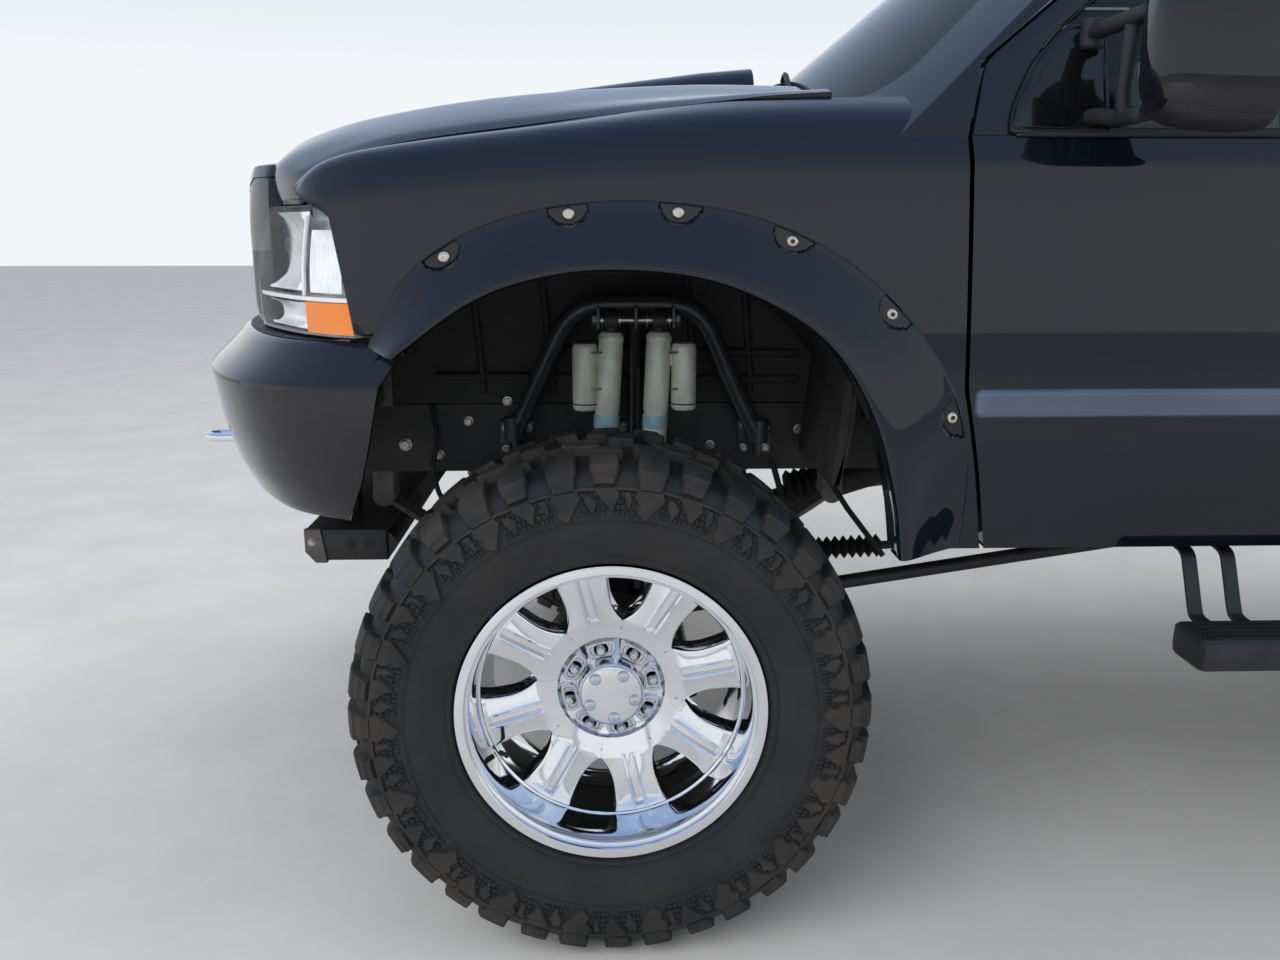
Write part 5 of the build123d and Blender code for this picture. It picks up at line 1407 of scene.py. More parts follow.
def window_seal(build, path, mat=2, closed=True):
    """A rubber channel round a window's hole."""
    centre = sum(path, Vector((0, 0))) / len(path)
    profile = ((0.0, 0.004), (0.002, 0.0015), (0.008, 0.003), (0.013, 0.01), (0.013, 0.028))
    build.grid([[on_side(*p, inset) for p in shrunk(path, centre, shrink)] for shrink, inset in profile],
               close_u=closed, mat=mat)


def stations(start, end, count, fine_at=None, fine_half=0.11, fine_step=0.0075):
    """Evenly spread places, with more of them around one."""
    places = [start + (end - start) * k / count for k in range(count + 1)]
    if fine_at is not None:
        places = [p for p in places if abs(p - fine_at) > fine_half]
        n = int(2 * fine_half / fine_step)
        places += [fine_at - fine_half + 2 * fine_half * k / n for k in range(n + 1)]
        places = [p for p in places if min(start, end) <= p <= max(start, end)]
    return sorted(set(places), reverse=end < start)


def door_skin(build, front_line, rear_line, handle_a, cut_a=None):
    """The door's curved outer skin, pressed in behind the handle, with folded edges."""
    levels = stations(sill_z, door_top, 30, 1.477, 0.055, 0.007)
    mid_front, mid_rear = straight(front_line, 1.3), straight(rear_line, 1.3)
    shares = [(p - mid_front) / (mid_rear - mid_front) for p in stations(mid_front, mid_rear, 36, handle_a)]
    shares[0], shares[-1] = 0.0, 1.0
    rows = []
    for t in shares:
        row = []
        for z in levels:
            a0, a1 = straight(front_line, z), straight(rear_line, z)
            a = a0 + (a1 - a0) * t
            reach = ((a - handle_a) / 0.098) ** 4 + ((z - 1.477) / 0.036) ** 4
            sunk = 0.024 * max(0.0, min(1.0, (1.15 - reach) / 0.55))
            row.append(on_side(a, z, sunk))
        rows.append(row)

    def clear(p, margin=0.0):
        return cut_a is None or from_arch(p, cut_a) > arch_r + margin

    build.cut_grid(rows, lambda c: clear(c, 0.012))
    for line, dx, dz in ((rows[0], -0.003, 0), ([p for p in rows[-1] if clear(p)], 0.003, 0),
                         ([row[0] for row in rows if clear(row[0])], 0, 0.003)):
        build.fold(line, (dx, -0.004, dz), (dx * 1.4, -0.05, dz))


def strip(build, a0, a1, mat):
    """The protective strip along the side, rounded at both ends."""
    profile = [(-0.001, 1.0555), (0.0058, 1.057), (0.01, 1.061), (0.0116, 1.068), (0.0104, 1.076), (0.01, 1.092),
               (0.0112, 1.1), (0.0094, 1.106), (0.005, 1.1104), (-0.001, 1.1118)]
    places = [0, 0.002, 0.005, 0.01, 0.018]
    length = abs(a1 - a0)
    middle_z = 1.0835
    rows = []
    for p in places + [length / 2] + [length - p for p in reversed(places)]:
        near = min(p, length - p)
        out = math.sqrt(max(0.0, 1 - (1 - min(1.0, near / 0.018)) ** 2))
        squeeze = 0.5 + 0.5 * min(1.0, near / 0.01 + 0.3)
        row = [(o, middle_z + (z - middle_z) * squeeze) for o, z in profile]
        rows.append([Vector((a0 + math.copysign(p, a1 - a0), side_y(z) + max(-0.001, o * out), z)) for o, z in row])
    build.grid(rows, mat=mat)


def pull_handle(build, a):
    """A bowed door handle over its hollow, with a lock."""
    path = [(a + 0.088, 1.006, 1.479), (a + 0.07, 1.0125, 1.479), (a + 0.03, 1.0165, 1.479), (a - 0.03, 1.0165, 1.479),
            (a - 0.07, 1.0125, 1.479), (a - 0.088, 1.006, 1.479)]
    rows = []
    line = smooth_path(path, 5)
    for k, p in enumerate(line):
        end = min(1.0, 0.55 + 0.09 * min(k, len(line) - 1 - k))
        rows.append([p + Vector((0, 0.0055 * math.cos(t) * end, 0.0125 * math.sin(t) * end)) for t in turns(16)])
    build.grid(rows, close_u=True, caps=True, mat=3)
    for da in (0.079, -0.079):
        build.box((a + da - 0.01, 0.966, 1.469), (a + da + 0.01, 1.006, 1.4885), 0.003, 3)
    build.turned((a - 0.116, 0.9848, 1.477), (0, 1, 0), [(0, 0.0118), (0.0018, 0.0118), (0.0026, 0.0104)], 24, 3)


def inner_trim(build, front_a, rear_a):
    """The padded inner face with an armrest, a pull and a speaker grille."""
    rows = []
    for a in stations(front_a, rear_a, 12):
        row = []
        for z in stations(0.86, 1.563, 16):
            puff = 0.01 * math.sin(math.pi * (z - 0.86) / 0.703) ** 0.5
            row.append(on_side(a, z, 0.052 + puff))
        rows.append(row)
    mat = 4
    build.grid(rows, mat=mat)
    length = abs(rear_a - front_a)
    mid = (front_a + rear_a) / 2
    build.box((mid - length * 0.32, 0.855, 1.33), (mid + length * 0.22, 0.945, 1.392), 0.016, mat)
    build.box((mid - length * 0.05, 0.85, 1.392), (mid + length * 0.14, 0.872, 1.404), 0.004, 3)
    build.turned((front_a - 0.19, skin_y(1.02) - 0.06, 1.02), (0, -1, 0),
                 [(0, 0.088), (0.006, 0.086), (0.009, 0.078), (0.006, 0.072)], 40, mat)


def belt_strip(build, a0, a1):
    """The rubber wiper strip at the foot of a window."""
    profile = [(0.9655, 1.563), (0.9705, 1.565), (0.9722, 1.57), (0.97, 1.576), (0.962, 1.58), (0.945, 1.58)]
    build.grid([[Vector((a, y, z)) for y, z in profile] for a in stations(a0, a1, 6)], mat=2)


door_top = 1.5665
door_tables = {
    "front": {
        "front": [(0.785, -0.739), (0.955, -0.703), (1.11, -0.668), (1.567, -0.6555)],
        "rear": [(0.785, -1.74), (1.567, -1.74)], "handle": -1.62, "cut": None,
        "outer": [(-0.6555, door_top), (-0.668, 1.63), (-0.684, 1.7), (-1.166, 2.095), (-1.74, 2.095),
                  (-1.74, door_top)],
        "inner": [(-0.738, door_top), (-0.738, 1.632), (-0.8, 1.742), (-1.19, 2.06), (-1.672, 2.06),
                  (-1.672, door_top)],
        "strip": (-0.682, -1.728)},
    "rear": {
        "front": [(0.785, -1.748), (1.567, -1.748)],
        "rear": [(0.785, -2.712), (1.567, -2.712)], "handle": -2.59, "cut": axle_gap,
        "outer": [(-1.748, door_top), (-1.748, 2.095), (-2.712, 2.095), (-2.712, door_top)],
        "inner": [(-1.816, door_top), (-1.816, 2.06), (-2.65, 2.06), (-2.65, door_top)],
        "strip": (-1.76, -2.7)}}


def door_form(table):
    """One left door: skin, window frame, seal, belt strip, lining, side strip and handle."""
    build = Build()
    door_skin(build, table["front"], table["rear"], table["handle"], table["cut"])
    outer, inner = rounded(table["outer"], 0.018), rounded(table["inner"], 0.045)
    side_frame(build, outer, inner)
    window_seal(build, inner, closed=False)
    belt_strip(build, inner[0].x, inner[-1].x)
    front_a, rear_a = table["outer"][0][0], table["outer"][-1][0]
    build.grid([[Vector((a, y, door_top)) for a in (front_a, rear_a)] for y in (belt_y, 0.952, 0.905)], mat=4)
    inner_trim(build, front_a - 0.02, rear_a + 0.02)
    strip(build, *table["strip"], mat=5)
    pull_handle(build, table["handle"])
    return build


for door_name, table in door_tables.items():
    door = f"door_{door_name}_{{}}"
    both_sides(door_form(table).move(to_front), f"door_skin_{door_name}_{{}}",
               [paint, trim, seal, gloss, cabin, strip_painted_sky_reflection], door, [door], slot="body_paint", crease=30)


def squared(value, power):
    """A sine or cosine flattened, which squares off a round section."""
    return math.copysign(abs(value) ** power, value)


def mirror_parts():
    """A tall rounded mirror head on two arms, a folding joint, and a sail panel in the window's corner."""
    build = Build()
    rings = [(-1.04, 0.079, 0.133), (-1.0385, 0.0815, 0.1355), (-1.02, 0.0835, 0.1375), (-0.98, 0.0825, 0.1365),
             (-0.94, 0.0795, 0.1335), (-0.91, 0.0745, 0.128), (-0.89, 0.067, 0.12), (-0.874, 0.056, 0.107),
             (-0.863, 0.042, 0.088), (-0.8555, 0.024, 0.056), (-0.8525, 0.006, 0.016)]
    head_y, head_z = 1.186, 1.692
    rows = []
    for a, w, h in rings:
        rows.append([Vector((a, head_y + w * squared(math.cos(t), 0.62), head_z + h * squared(math.sin(t), 0.52)))
                     for t in turns(48)])
    build.grid(rows, close_u=True, caps=True)
    # glass with its rim, on the rearward face
    for shrink, a, mat in ((0.93, -1.0396, 2), (0.9, -1.0399, 5)):
        build.add([(a - 0.0002, head_y + (p.y - head_y) * shrink, head_z + (p.z - head_z) * shrink) for p in rows[0]],
                  [list(range(48))], mat)
    # crease where the skull cap meets the black lower shell
    build.grid([[Vector((p.x, head_y + (p.y - head_y) * 1.004, p.z)) for p in row[30:43]] for row in rows[1:8]], mat=1)
    # arms: two flattened bars that reach from the door to the head, and the joint
    for z0, z1, tall in ((1.742, 1.748, 0.014), (1.595, 1.588, 0.0135)):
        line = smooth_path([(-0.868, 0.93, z0), (-0.872, 0.985, z0 + 0.003), (-0.884, 1.045, z1),
                            (-0.892, 1.1, z1 + 0.002), (-0.9, 1.118, z1 + 0.004)], 5)
        build.grid([[p + Vector((0.0175 * squared(math.cos(t), 0.7), 0, tall * squared(math.sin(t), 0.7)))
                     for t in turns(20)] for p in line], close_u=True, caps=True, mat=1)
    post = smooth_path([(-0.886, 1.06, 1.59), (-0.878, 1.064, 1.62), (-0.88, 1.064, 1.668), (-0.888, 1.06, 1.742)], 5)
    build.tube(post, [0.015 - 0.003 * math.sin(math.pi * k / (len(post) - 1)) for k in range(len(post))], 16, 1)
    # joint housings at the door end of the arms
    for z in (1.742, 1.595):
        build.turned((-0.868, 0.942, z - 0.026), (0, 0, 1),
                     [(0, 0.0168), (0.005, 0.021), (0.047, 0.021), (0.052, 0.0168)], 28, 1)
    # sail panel with a fine bead round it
    sail_line = rounded([(-0.905, 1.5675), (-0.718, 1.5675), (-0.724, 1.612), (-0.765, 1.697), (-0.83, 1.762),
                         (-0.905, 1.77)], 0.02, 4)
    centre = sum(sail_line, Vector((0, 0))) / len(sail_line)
    sail_rows = []
    for shrink, out in ((0.0, -0.004), (0.0, 0.004), (0.003, 0.0075), (0.008, 0.0085), (0.01, 0.0065), (0.013, 0.0065),
                        (0.016, 0.009), (0.04, 0.013), (0.07, 0.015)):
        sail_rows.append([on_side(*(p + (centre - p).normalized() * min(shrink, (centre - p).length)), -out)
                          for p in sail_line])
    build.grid(sail_rows, close_u=True)
    build.add(sail_rows[-1], [list(range(len(sail_rows[-1])))])
    return build


both_sides(mirror_parts().move(to_front), "mirror_shell_{}", [gloss, trim, seal, gloss, cabin, mirror_face],
           "door_front_{}", ["mirror_{}"], slot="gloss_black", crease=34)


def step_parts():
    """A running board: a ribbed tread on a rounded tray, carried by two bent legs."""
    build = Build()
    profile = [(0.984, 0.64), (0.982, 0.6), (0.986, 0.586), (0.998, 0.5815), (1.09, 0.5815), (1.101, 0.586),
               (1.1065, 0.598), (1.1075, 0.628), (1.1045, 0.64), (1.096, 0.6465), (0.992, 0.6465)]
    ends = [(-1.11, 0.55), (-1.112, 0.8), (-1.1165, 0.94), (-1.125, 1.0), (-2.845, 1.0), (-2.854, 0.94), (-2.858, 0.8),
            (-2.86, 0.55)]
    mid = Vector((0, 1.045, 0.614))
    build.grid([[Vector((a, mid.y + (y - mid.y) * k, mid.z + (z - mid.z) * k)) for y, z in profile] for a, k in ends],
               close_u=True, caps=True)
    for k in range(5):
        y = 1.004 + 0.0205 * k
        build.box((-2.83, y - 0.0055, 0.6455), (-1.14, y + 0.0055, 0.6494), 0.0012, 1)
    for k in range(28):
        a = -1.155 - 0.06 * k
        build.box((a - 0.014, 0.997, 0.646), (a + 0.002, 1.094, 0.6484), 0.0008, 1)
    for a in (-1.7, -2.5):
        for da in (-0.052, -0.018):
            leg = smooth_path([(a + da, 0.452, 0.96), (a + da, 0.458, 0.8), (a + da, 0.5, 0.66), (a + da, 0.64, 0.626),
                               (a + da, 0.82, 0.617), (a + da, 0.99, 0.611)], 5)
            build.flat_bar(leg, 0.0085, 0.0115, 2)
        build.box((a - 0.069, 0.446, 0.85), (a - 0.001, 0.456, 0.975), 0.003, 2)
        for dz in (0.87, 0.95):
            bolt_head(build, (a - 0.035, 0.456, dz), (0, 1, 0), 0.009, 3)
    build.box((-2.86, 0.842, 0.766), (-1.09, 0.876, 0.7915), 0.004, 2)
    for a in (-1.17, -1.25, -2.7, -2.78):
        bar = smooth_path([(a, 0.862, 0.77), (a, 0.905, 0.762), (a, 0.925, 0.73), (a, 0.956, 0.662), (a, 0.972, 0.646),
                           (a, 1.01, 0.644)], 4)
        build.flat_bar(bar, 0.014, 0.0035, 2)
    return build


both_sides(step_parts().move(to_front), "running_board_{}", [trim, seal, frame_black, steel], "chassis",
           ["side_steps"], slot="black_trim", crease=30)


def screen_point(y, up, out=0.0):
    """A point of the windshield: y across, up along its slope from its foot, out of its face."""
    slope = math.radians(39.3)
    bow = 2.4 - math.sqrt(2.4 ** 2 - y * y)
    normal = Vector((math.sin(slope), 0, math.cos(slope)))
    along = Vector((-math.cos(slope), 0, math.sin(slope)))
    return Vector((-0.406, y, 1.731)) + along * up + normal * (out - bow)


def wipers():
    """Two wipers at rest along the windshield's foot, each an arm with a sprung blade."""
    build = Build()
    for pivot_y, tip_y in ((0.66, 0.02), (0.02, -0.62)):
        base = screen_point(pivot_y, -0.07, 0.01)
        blade = [screen_point(pivot_y - 0.01 + (tip_y - pivot_y) * k / 14,
                              -0.035 + 0.045 * math.sin(math.pi * k / 14) ** 0.6, 0.006) for k in range(15)]
        build.tube(blade, 0.0042, 8)
        for lift in (0.01, 0.016):
            build.tube([p + Vector((0.3, 0, 0.5)) * lift * 0.9 for p in blade[1:-1]], 0.0028, 6)
        arm = [base + Vector((0.01, 0, 0.01)), base + Vector((0.005, (tip_y - pivot_y) * 0.15, 0.022)),
               (blade[7] + Vector((0.008, 0, 0.022))), blade[8] + Vector((0.004, 0, 0.012))]
        build.tube(smooth_path(arm, 4), 0.0065, 10)
        build.turned(base - Vector((0, 0, 0.012)), (0.3, 0, 1), [(0, 0.018), (0.02, 0.018), (0.027, 0.014)], 20)
    for y in (0.4, -0.4):
        build.box((-0.395, y - 0.014, 1.69), (-0.365, y + 0.014, 1.706), 0.004)
    # cowl grille between hood and glass
    for k in range(24):
        y = -0.62 + 0.054 * k
        build.box((-0.445, y - 0.018, 1.6405), (-0.395 - 0.07 * abs(y), y + 0.018, 1.644), 0.0012)
    return build


wipers().move(to_front).make("wipers", [trim], "chassis", slot="black_trim")


# Cabin: padded seats, dashboard, steering wheel, carpet and headliner

def pillow(lo, hi, seams, crown, steps=(20, 22)):
    """A crowned cushion between two corners. Its sides pull in between the corners, and sewn channels cross it."""
    lo, hi = Vector(lo), Vector(hi)
    size, mid = hi - lo, (hi + lo) / 2
    nu, nv = steps
    edge_round = 0.16

    def place(p):
        q = Vector(p)
        for axis_a, axis_b in ((0, 1), (0, 2), (1, 2)):
            over_a, over_b = (max(0.0, abs(q[axis]) - (1 - edge_round)) / edge_round for axis in (axis_a, axis_b))
            length = math.hypot(over_a, over_b)
            if length > 1:
                q[axis_a] = math.copysign((1 - edge_round) + over_a / length * edge_round, q[axis_a])
                q[axis_b] = math.copysign((1 - edge_round) + over_b / length * edge_round, q[axis_b])
        return mid + Vector(q[k] * size[k] / 2 for k in range(3))

    def waisted(x, y):
        return x * (1 - 0.02 * (1 - y * y)), y * (1 - 0.03 * (1 - x * x))

    shell = []
    for v in (-1 + 2 * i / nv for i in range(nv + 1)):
        waist = 1 - 0.03 * (1 - v * v)
        row = []
        for j in range(4 * nu):
            side, t = divmod(j, nu)
            t = -1 + 2 * t / nu
            x, y = waisted(*[(t, -1), (1, t), (-t, 1), (-1, -t)][side])
            row.append(place((x * waist, y * waist, v)))
        shell.append(row)
    build = Build().grid(shell, close_u=True)
    for end in (-1, 1):
        cap = []
        for x in (-1 + 2 * i / nu for i in range(nu + 1)):
            row = []
            groove = max([math.exp(-((x - s) / 0.03) ** 2) for s in seams], default=0.0)
            for y in (-1 + 2 * j / nu for j in range(nu + 1)):
                p = place((*waisted(x, y), end))
                if end > 0:
                    edge = (1 - x ** 8) * (1 - y ** 8)
                    p.z += crown * (1 - x ** 4) * (1 - y ** 4) * edge - 0.01 * groove * edge
                row.append(p)
            cap.append(row)
        build.grid(cap)
    return build


def seat_parts(a, y0, y1):
    """One seat's cushion, back and headrest in the seat's own places."""
    cushion = pillow((a - 0.25, y0 + 0.004, 1.205), (a + 0.268, y1 - 0.004, 1.305), (-0.45, 0.0, 0.45), 0.022)
    back = pillow((-0.315, y0 + 0.014, -0.058), (0.315, y1 - 0.014, 0.036), (-0.62, -0.3, 0.02, 0.34), 0.02)
    lean = Matrix.Translation((a - 0.284, 0, 1.612)) @ Matrix.Rotation(math.radians(-80.0), 4, "Y")
    back.move(lean)
    mid = (y0 + y1) / 2
    rest = pillow((-0.078, mid - 0.136, -0.034), (0.078, mid + 0.136, 0.03), (), 0.01, steps=(12, 12))
    rest.move(Matrix.Translation((a - 0.36, 0, 2.002)) @ Matrix.Rotation(math.radians(-82.0), 4, "Y"))
    return cushion, back, rest


def piping(build, a, y0, y1):
    """Rolled piping and bolsters that edge the cushion and back."""
    for y in (y0 + 0.07, y1 - 0.07):
        build.tube(smooth_path([(a - 0.235, y, 1.302), (a - 0.1, y, 1.322), (a + 0.1, y, 1.324), (a + 0.235, y, 1.304),
                                (a + 0.262, y, 1.262)], 5), 0.0035, 8, 2)
        build.tube(smooth_path([(a - 0.205, y, 1.335), (a - 0.235, y, 1.5), (a - 0.262, y, 1.7), (a - 0.295, y, 1.905)],
                               5), 0.0035, 8, 2)


seat_rows = [(-1.48, 0.13, 0.68), (-2.45, 0.02, 0.74), (-3.35, 0.02, 0.64)]
for row_number, (a, y0, y1) in enumerate(seat_rows, 1):
    frame_build = Build()
    frame_build.box((a - 0.235, y0 + 0.045, 1.0458), (a + 0.24, y1 - 0.045, 1.1), 0.008, 1)
    frame_build.box((a - 0.248, y0 + 0.042, 1.1), (a + 0.25, y1 - 0.042, 1.206), 0.018)
    mid = (y0 + y1) / 2
    for y in (mid - 0.07, mid + 0.07):
        frame_build.tube([(a - 0.338, y, 1.88), (a - 0.352, y, 1.96)], 0.0075, 12, 1)
    for y in (y0 + 0.012, y1 - 0.012):
        frame_build.turned((a - 0.19, y - 0.008, 1.262), (0, 1, 0),
                           [(0, 0.042), (0.003, 0.046), (0.013, 0.046), (0.016, 0.042)], 28)
    piping(frame_build, a, y0, y1)
    both_sides(frame_build.move(to_front), f"seat_base_{row_number}_{{}}", [cabin, steel, stitch], "chassis", ["seats"],
               slot="cabin_plastic")
    for part_name, form in zip(("cushion", "back", "headrest"), seat_parts(a, y0, y1)):
        form.move(to_front)
        for side_name, placed in (("left", form), ("right", form.mirrored())):
            obj = placed.make(f"seat_{part_name}_{row_number}_{side_name}", leather, "chassis", ["seats"], slot="cloth",
                              crease=60)
            weld = bmesh.new()
            weld.from_mesh(obj.data)
            bmesh.ops.remove_doubles(weld, verts=weld.verts, dist=0.0008)
            bmesh.ops.recalc_face_normals(weld, faces=weld.faces)
            weld.to_mesh(obj.data)
            weld.free()


def dashboard_parts():
    """A rounded dash with a hooded gauge binnacle, vents, a centre stack, a glovebox and a console."""
    build = Build()
    profile = [(-0.641, 1.585), (-0.69, 1.59), (-0.73, 1.586), (-0.78, 1.566), (-0.83, 1.536), (-0.868, 1.505),
               (-0.884, 1.47), (-0.893, 1.425), (-0.88, 1.38), (-0.862, 1.33), (-0.848, 1.28), (-0.82, 1.27),
               (-0.641, 1.252)]
    ends = [(-0.855, 0.96), (-0.848, 0.985), (-0.83, 1.0), (0.83, 1.0), (0.848, 0.985), (0.855, 0.96)]
    build.grid([[Vector((-0.76 + (a + 0.76) * k, y, 1.42 + (z - 1.42) * k)) for a, z in profile] for y, k in ends],
               caps=True)
    build.box((-0.886, 0.215, 1.44), (-0.8, 0.585, 1.572), 0.028)
    build.box((-0.8875, 0.235, 1.452), (-0.88, 0.565, 1.556), 0.003, 1)
    for y, r in ((0.33, 0.044), (0.47, 0.044), (0.4, 0.024), (0.262, 0.02), (0.54, 0.02)):
        build.turned((-0.8878, y, 1.505), (-1, 0, 0), [(0, r), (0.0015, r), (0.0018, r * 0.9), (0.0006, r * 0.88)], 28,
                     2)
    for y in (0.74, 0.12, -0.12, -0.74):
        build.box((-0.8965, y - 0.062, 1.398), (-0.87, y + 0.062, 1.452), 0.006, 1)
        for k in range(5):
            build.box((-0.8985, y - 0.054, 1.404 + 0.0095 * k), (-0.892, y + 0.054, 1.4075 + 0.0095 * k), 0.0005, 2)
    build.box((-0.886, -0.105, 1.29), (-0.855, 0.105, 1.385), 0.005, 1)
    for y in (-0.07, 0.0, 0.07):
        build.turned((-0.886, y, 1.312), (-1, 0, 0), [(0, 0.018), (0.01, 0.016), (0.011, 0.013)], 20, 2)
    build.box((-0.882, -0.6, 1.285), (-0.866, -0.24, 1.385), 0.008)
    build.box((-1.5, -0.108, 1.046), (-0.905, 0.108, 1.262), 0.022)
    build.box((-1.48, -0.1, 1.262), (-1.2, 0.1, 1.28), 0.01, 3)
    for a in (-1.08, -1.16):
        build.turned((a, 0.0, 1.258), (0, 0, 1), [(0.004, 0.044), (0.008, 0.042), (0.008, 0.038), (0.0045, 0.037)], 28,
                     2)
    column = Vector((-0.82, 0.4, 1.4404))
    axis = (Vector((-0.9805, 0.4, 1.4891)) - column)
    build.turned(column, axis, [(0, 0.046), (0.08, 0.044), (0.13, 0.038), (0.158, 0.03)], 28)
    build.tube([(-0.935, 0.4, 1.478), (-0.945, 0.33, 1.492), (-0.955, 0.262, 1.505)], [0.009, 0.0075, 0.009], 12)
    for y in (0.33, 0.48):
        build.box((-0.64, y - 0.035, 1.075), (-0.628, y + 0.035, 1.16), 0.004, 2)
        build.tube([(-0.632, y, 1.15), (-0.61, y, 1.24)], 0.008, 8, 1)
    return build


dash_form = dashboard_parts().move(to_front)
dash_form.make("dashboard_trim", [cabin, gloss, trim, leather], "chassis", ["dashboard"], slot="cabin_plastic",
               crease=34)


def steering_parts():
    """A leather rim with a slight flat grip shape, three padded spokes and a centre pad."""
    centre = Vector((front - 1.0, 0.4, 1.495))
    out = Vector((-0.956, 0, 0.29)).normalized()
    side = Vector((0, 1, 0))
    up = out.cross(side).normalized()
    if up.z < 0:
        up = -up
    build = Build()
    rows = []
    for t in turns(72):
        grip = 0.0132 + 0.0014 * (0.5 + 0.5 * math.cos(8 * t))
        radial = side * math.cos(t) + up * math.sin(t)
        rows.append([centre + radial * (0.18 + grip * math.cos(s)) + out * grip * math.sin(s) for s in turns(16)])
    build.grid(rows, close_u=True, close_v=True)
    for radial, wide in ((side, 0.02), (-side, 0.02), (-up, 0.018)):
        cross = out.cross(radial)
        line = [(0.04, wide * 1.5, 0.011), (0.08, wide * 1.05, 0.01), (0.13, wide * 0.85, 0.009),
                (0.176, wide * 0.95, 0.009)]
        build.grid([[centre + radial * r + cross * w * math.cos(s) + out * h * math.sin(s) for s in turns(14)]
                    for r, w, h in line], close_u=True, caps=True, mat=1)
    pad = [(-0.019, 0.03), (-0.0185, 0.044), (0.004, 0.0475), (0.012, 0.045), (0.0175, 0.036), (0.0195, 0.018),
           (0.0198, 0.002)]
    build.turned(centre, out, pad, 40, 1)
    return build


steering_parts().make("steering_wheel_leather", [leather, cabin], "steering_wheel", ["steering_wheel"],
                      slot="cabin_plastic", crease=50)


def cabin_lining():
    """A cloth headliner under the roof and sun visors above the windshield."""
    build = Build()
    build.grid([[Vector((-1.3 - 3.0 * i / 12, y, 2.155 - 0.05 * (abs(y) / 0.7) ** 3 - (0.02 if i in (0, 12) else 0.0)))
                 for y in (-0.7 + 0.07 * j for j in range(21))] for i in range(13)])
    for y in (0.4, -0.4):
        build.box((-1.3, y - 0.21, 2.108), (-1.15, y + 0.21, 2.124), 0.006)
    build.box((-1.18, -0.11, 2.04), (-1.15, 0.11, 2.094), 0.012, 1)
    build.tube([(-1.165, 0, 2.09), (-1.2, 0, 2.13)], 0.006, 8, 1)
    return build


cabin_lining().move(to_front).make("headliner", [headliner, trim], "chassis", slot="cabin_plastic", crease=60)


# Rear end, roof and underside. Distances "x" are from the tail, forward.

def tail_parts():
    """A rear bumper with chamfered edges, a ribbed step pad, a plate hollow and pads at its corners."""
    build = Build()
    plan_line = [(0.236, 0.984), (0.09, 0.984), (0.052, 0.966), (0.022, 0.929), (0.01, 0.85), (0.001, 0.6),
                 (0.001, 0.26)]
    line = smooth_path([(x, y, 0) for x, y in plan_line], 6)
    levels = [(0.801, 0.05), (0.801, 0.02), (0.805, 0.006), (0.816, 0.0), (0.975, 0.0), (0.986, 0.003), (0.996, 0.009),
              (1.003, 0.02), (1.008, 0.036), (1.0095, 0.06)]
    rows = []
    for z, inset in levels:
        half = []
        for p, along in zip(line, tangents(line)):
            inward = Vector((-along.y, along.x, 0))
            if inward.dot(Vector((0.3 - p.x, -p.y, 0))) < 0:
                inward = -inward
            half.append(Vector((p.x, p.y, z)) + inward * inset)
        rows.append(half + [Vector((0.001 + inset, y, z)) for y in (0.19, 0.0, -0.19)] + other_half(half, 0))
    build.grid(rows)
    build.box((0.03, -0.86, 1.006), (0.225, 0.86, 1.0098), 0.0015, 1)
    for k in range(9):
        x = 0.046 + 0.0205 * k
        for y0, y1 in ((-0.84, -0.2), (0.2, 0.84)):
            build.box((x - 0.005, y0, 1.0085), (x + 0.005, y1, 1.0099), 0.0006, 1)
    # plate hollow with a plain blank plate and two lamps over it
    build.box((0.0008, -0.18, 0.842), (0.005, 0.18, 0.995), 0.002, 1)
    build.box((0.0002, -0.152, 0.85), (0.0028, 0.152, 0.986), 0.001, 2)
    for y in (-0.14, 0.14):
        for z in (0.862, 0.974):
            build.turned((0.0004, y, z), (-1, 0, 0), [(0, 0.0042), (0.0003, 0.004)], 12, 3)
    for y in (-0.1, 0.1):
        build.box((0.001, y - 0.026, 0.9935), (0.02, y + 0.026, 1.0035), 0.002, 1)
    for y in (-0.33, 0.33, -0.64, 0.64):
        build.turned((0.003 if abs(y) < 0.5 else 0.004, y, 0.905), (-1, 0, 0),
                     [(0, 0.0135), (0.0016, 0.0135), (0.0028, 0.011)], 24, 3)
    return build


tail_parts().move(to_tail).make("rear_bumper_skin", [paint, trim, satin, steel], "chassis", ["rear_bumper"],
                                slot="body_paint", crease=26)


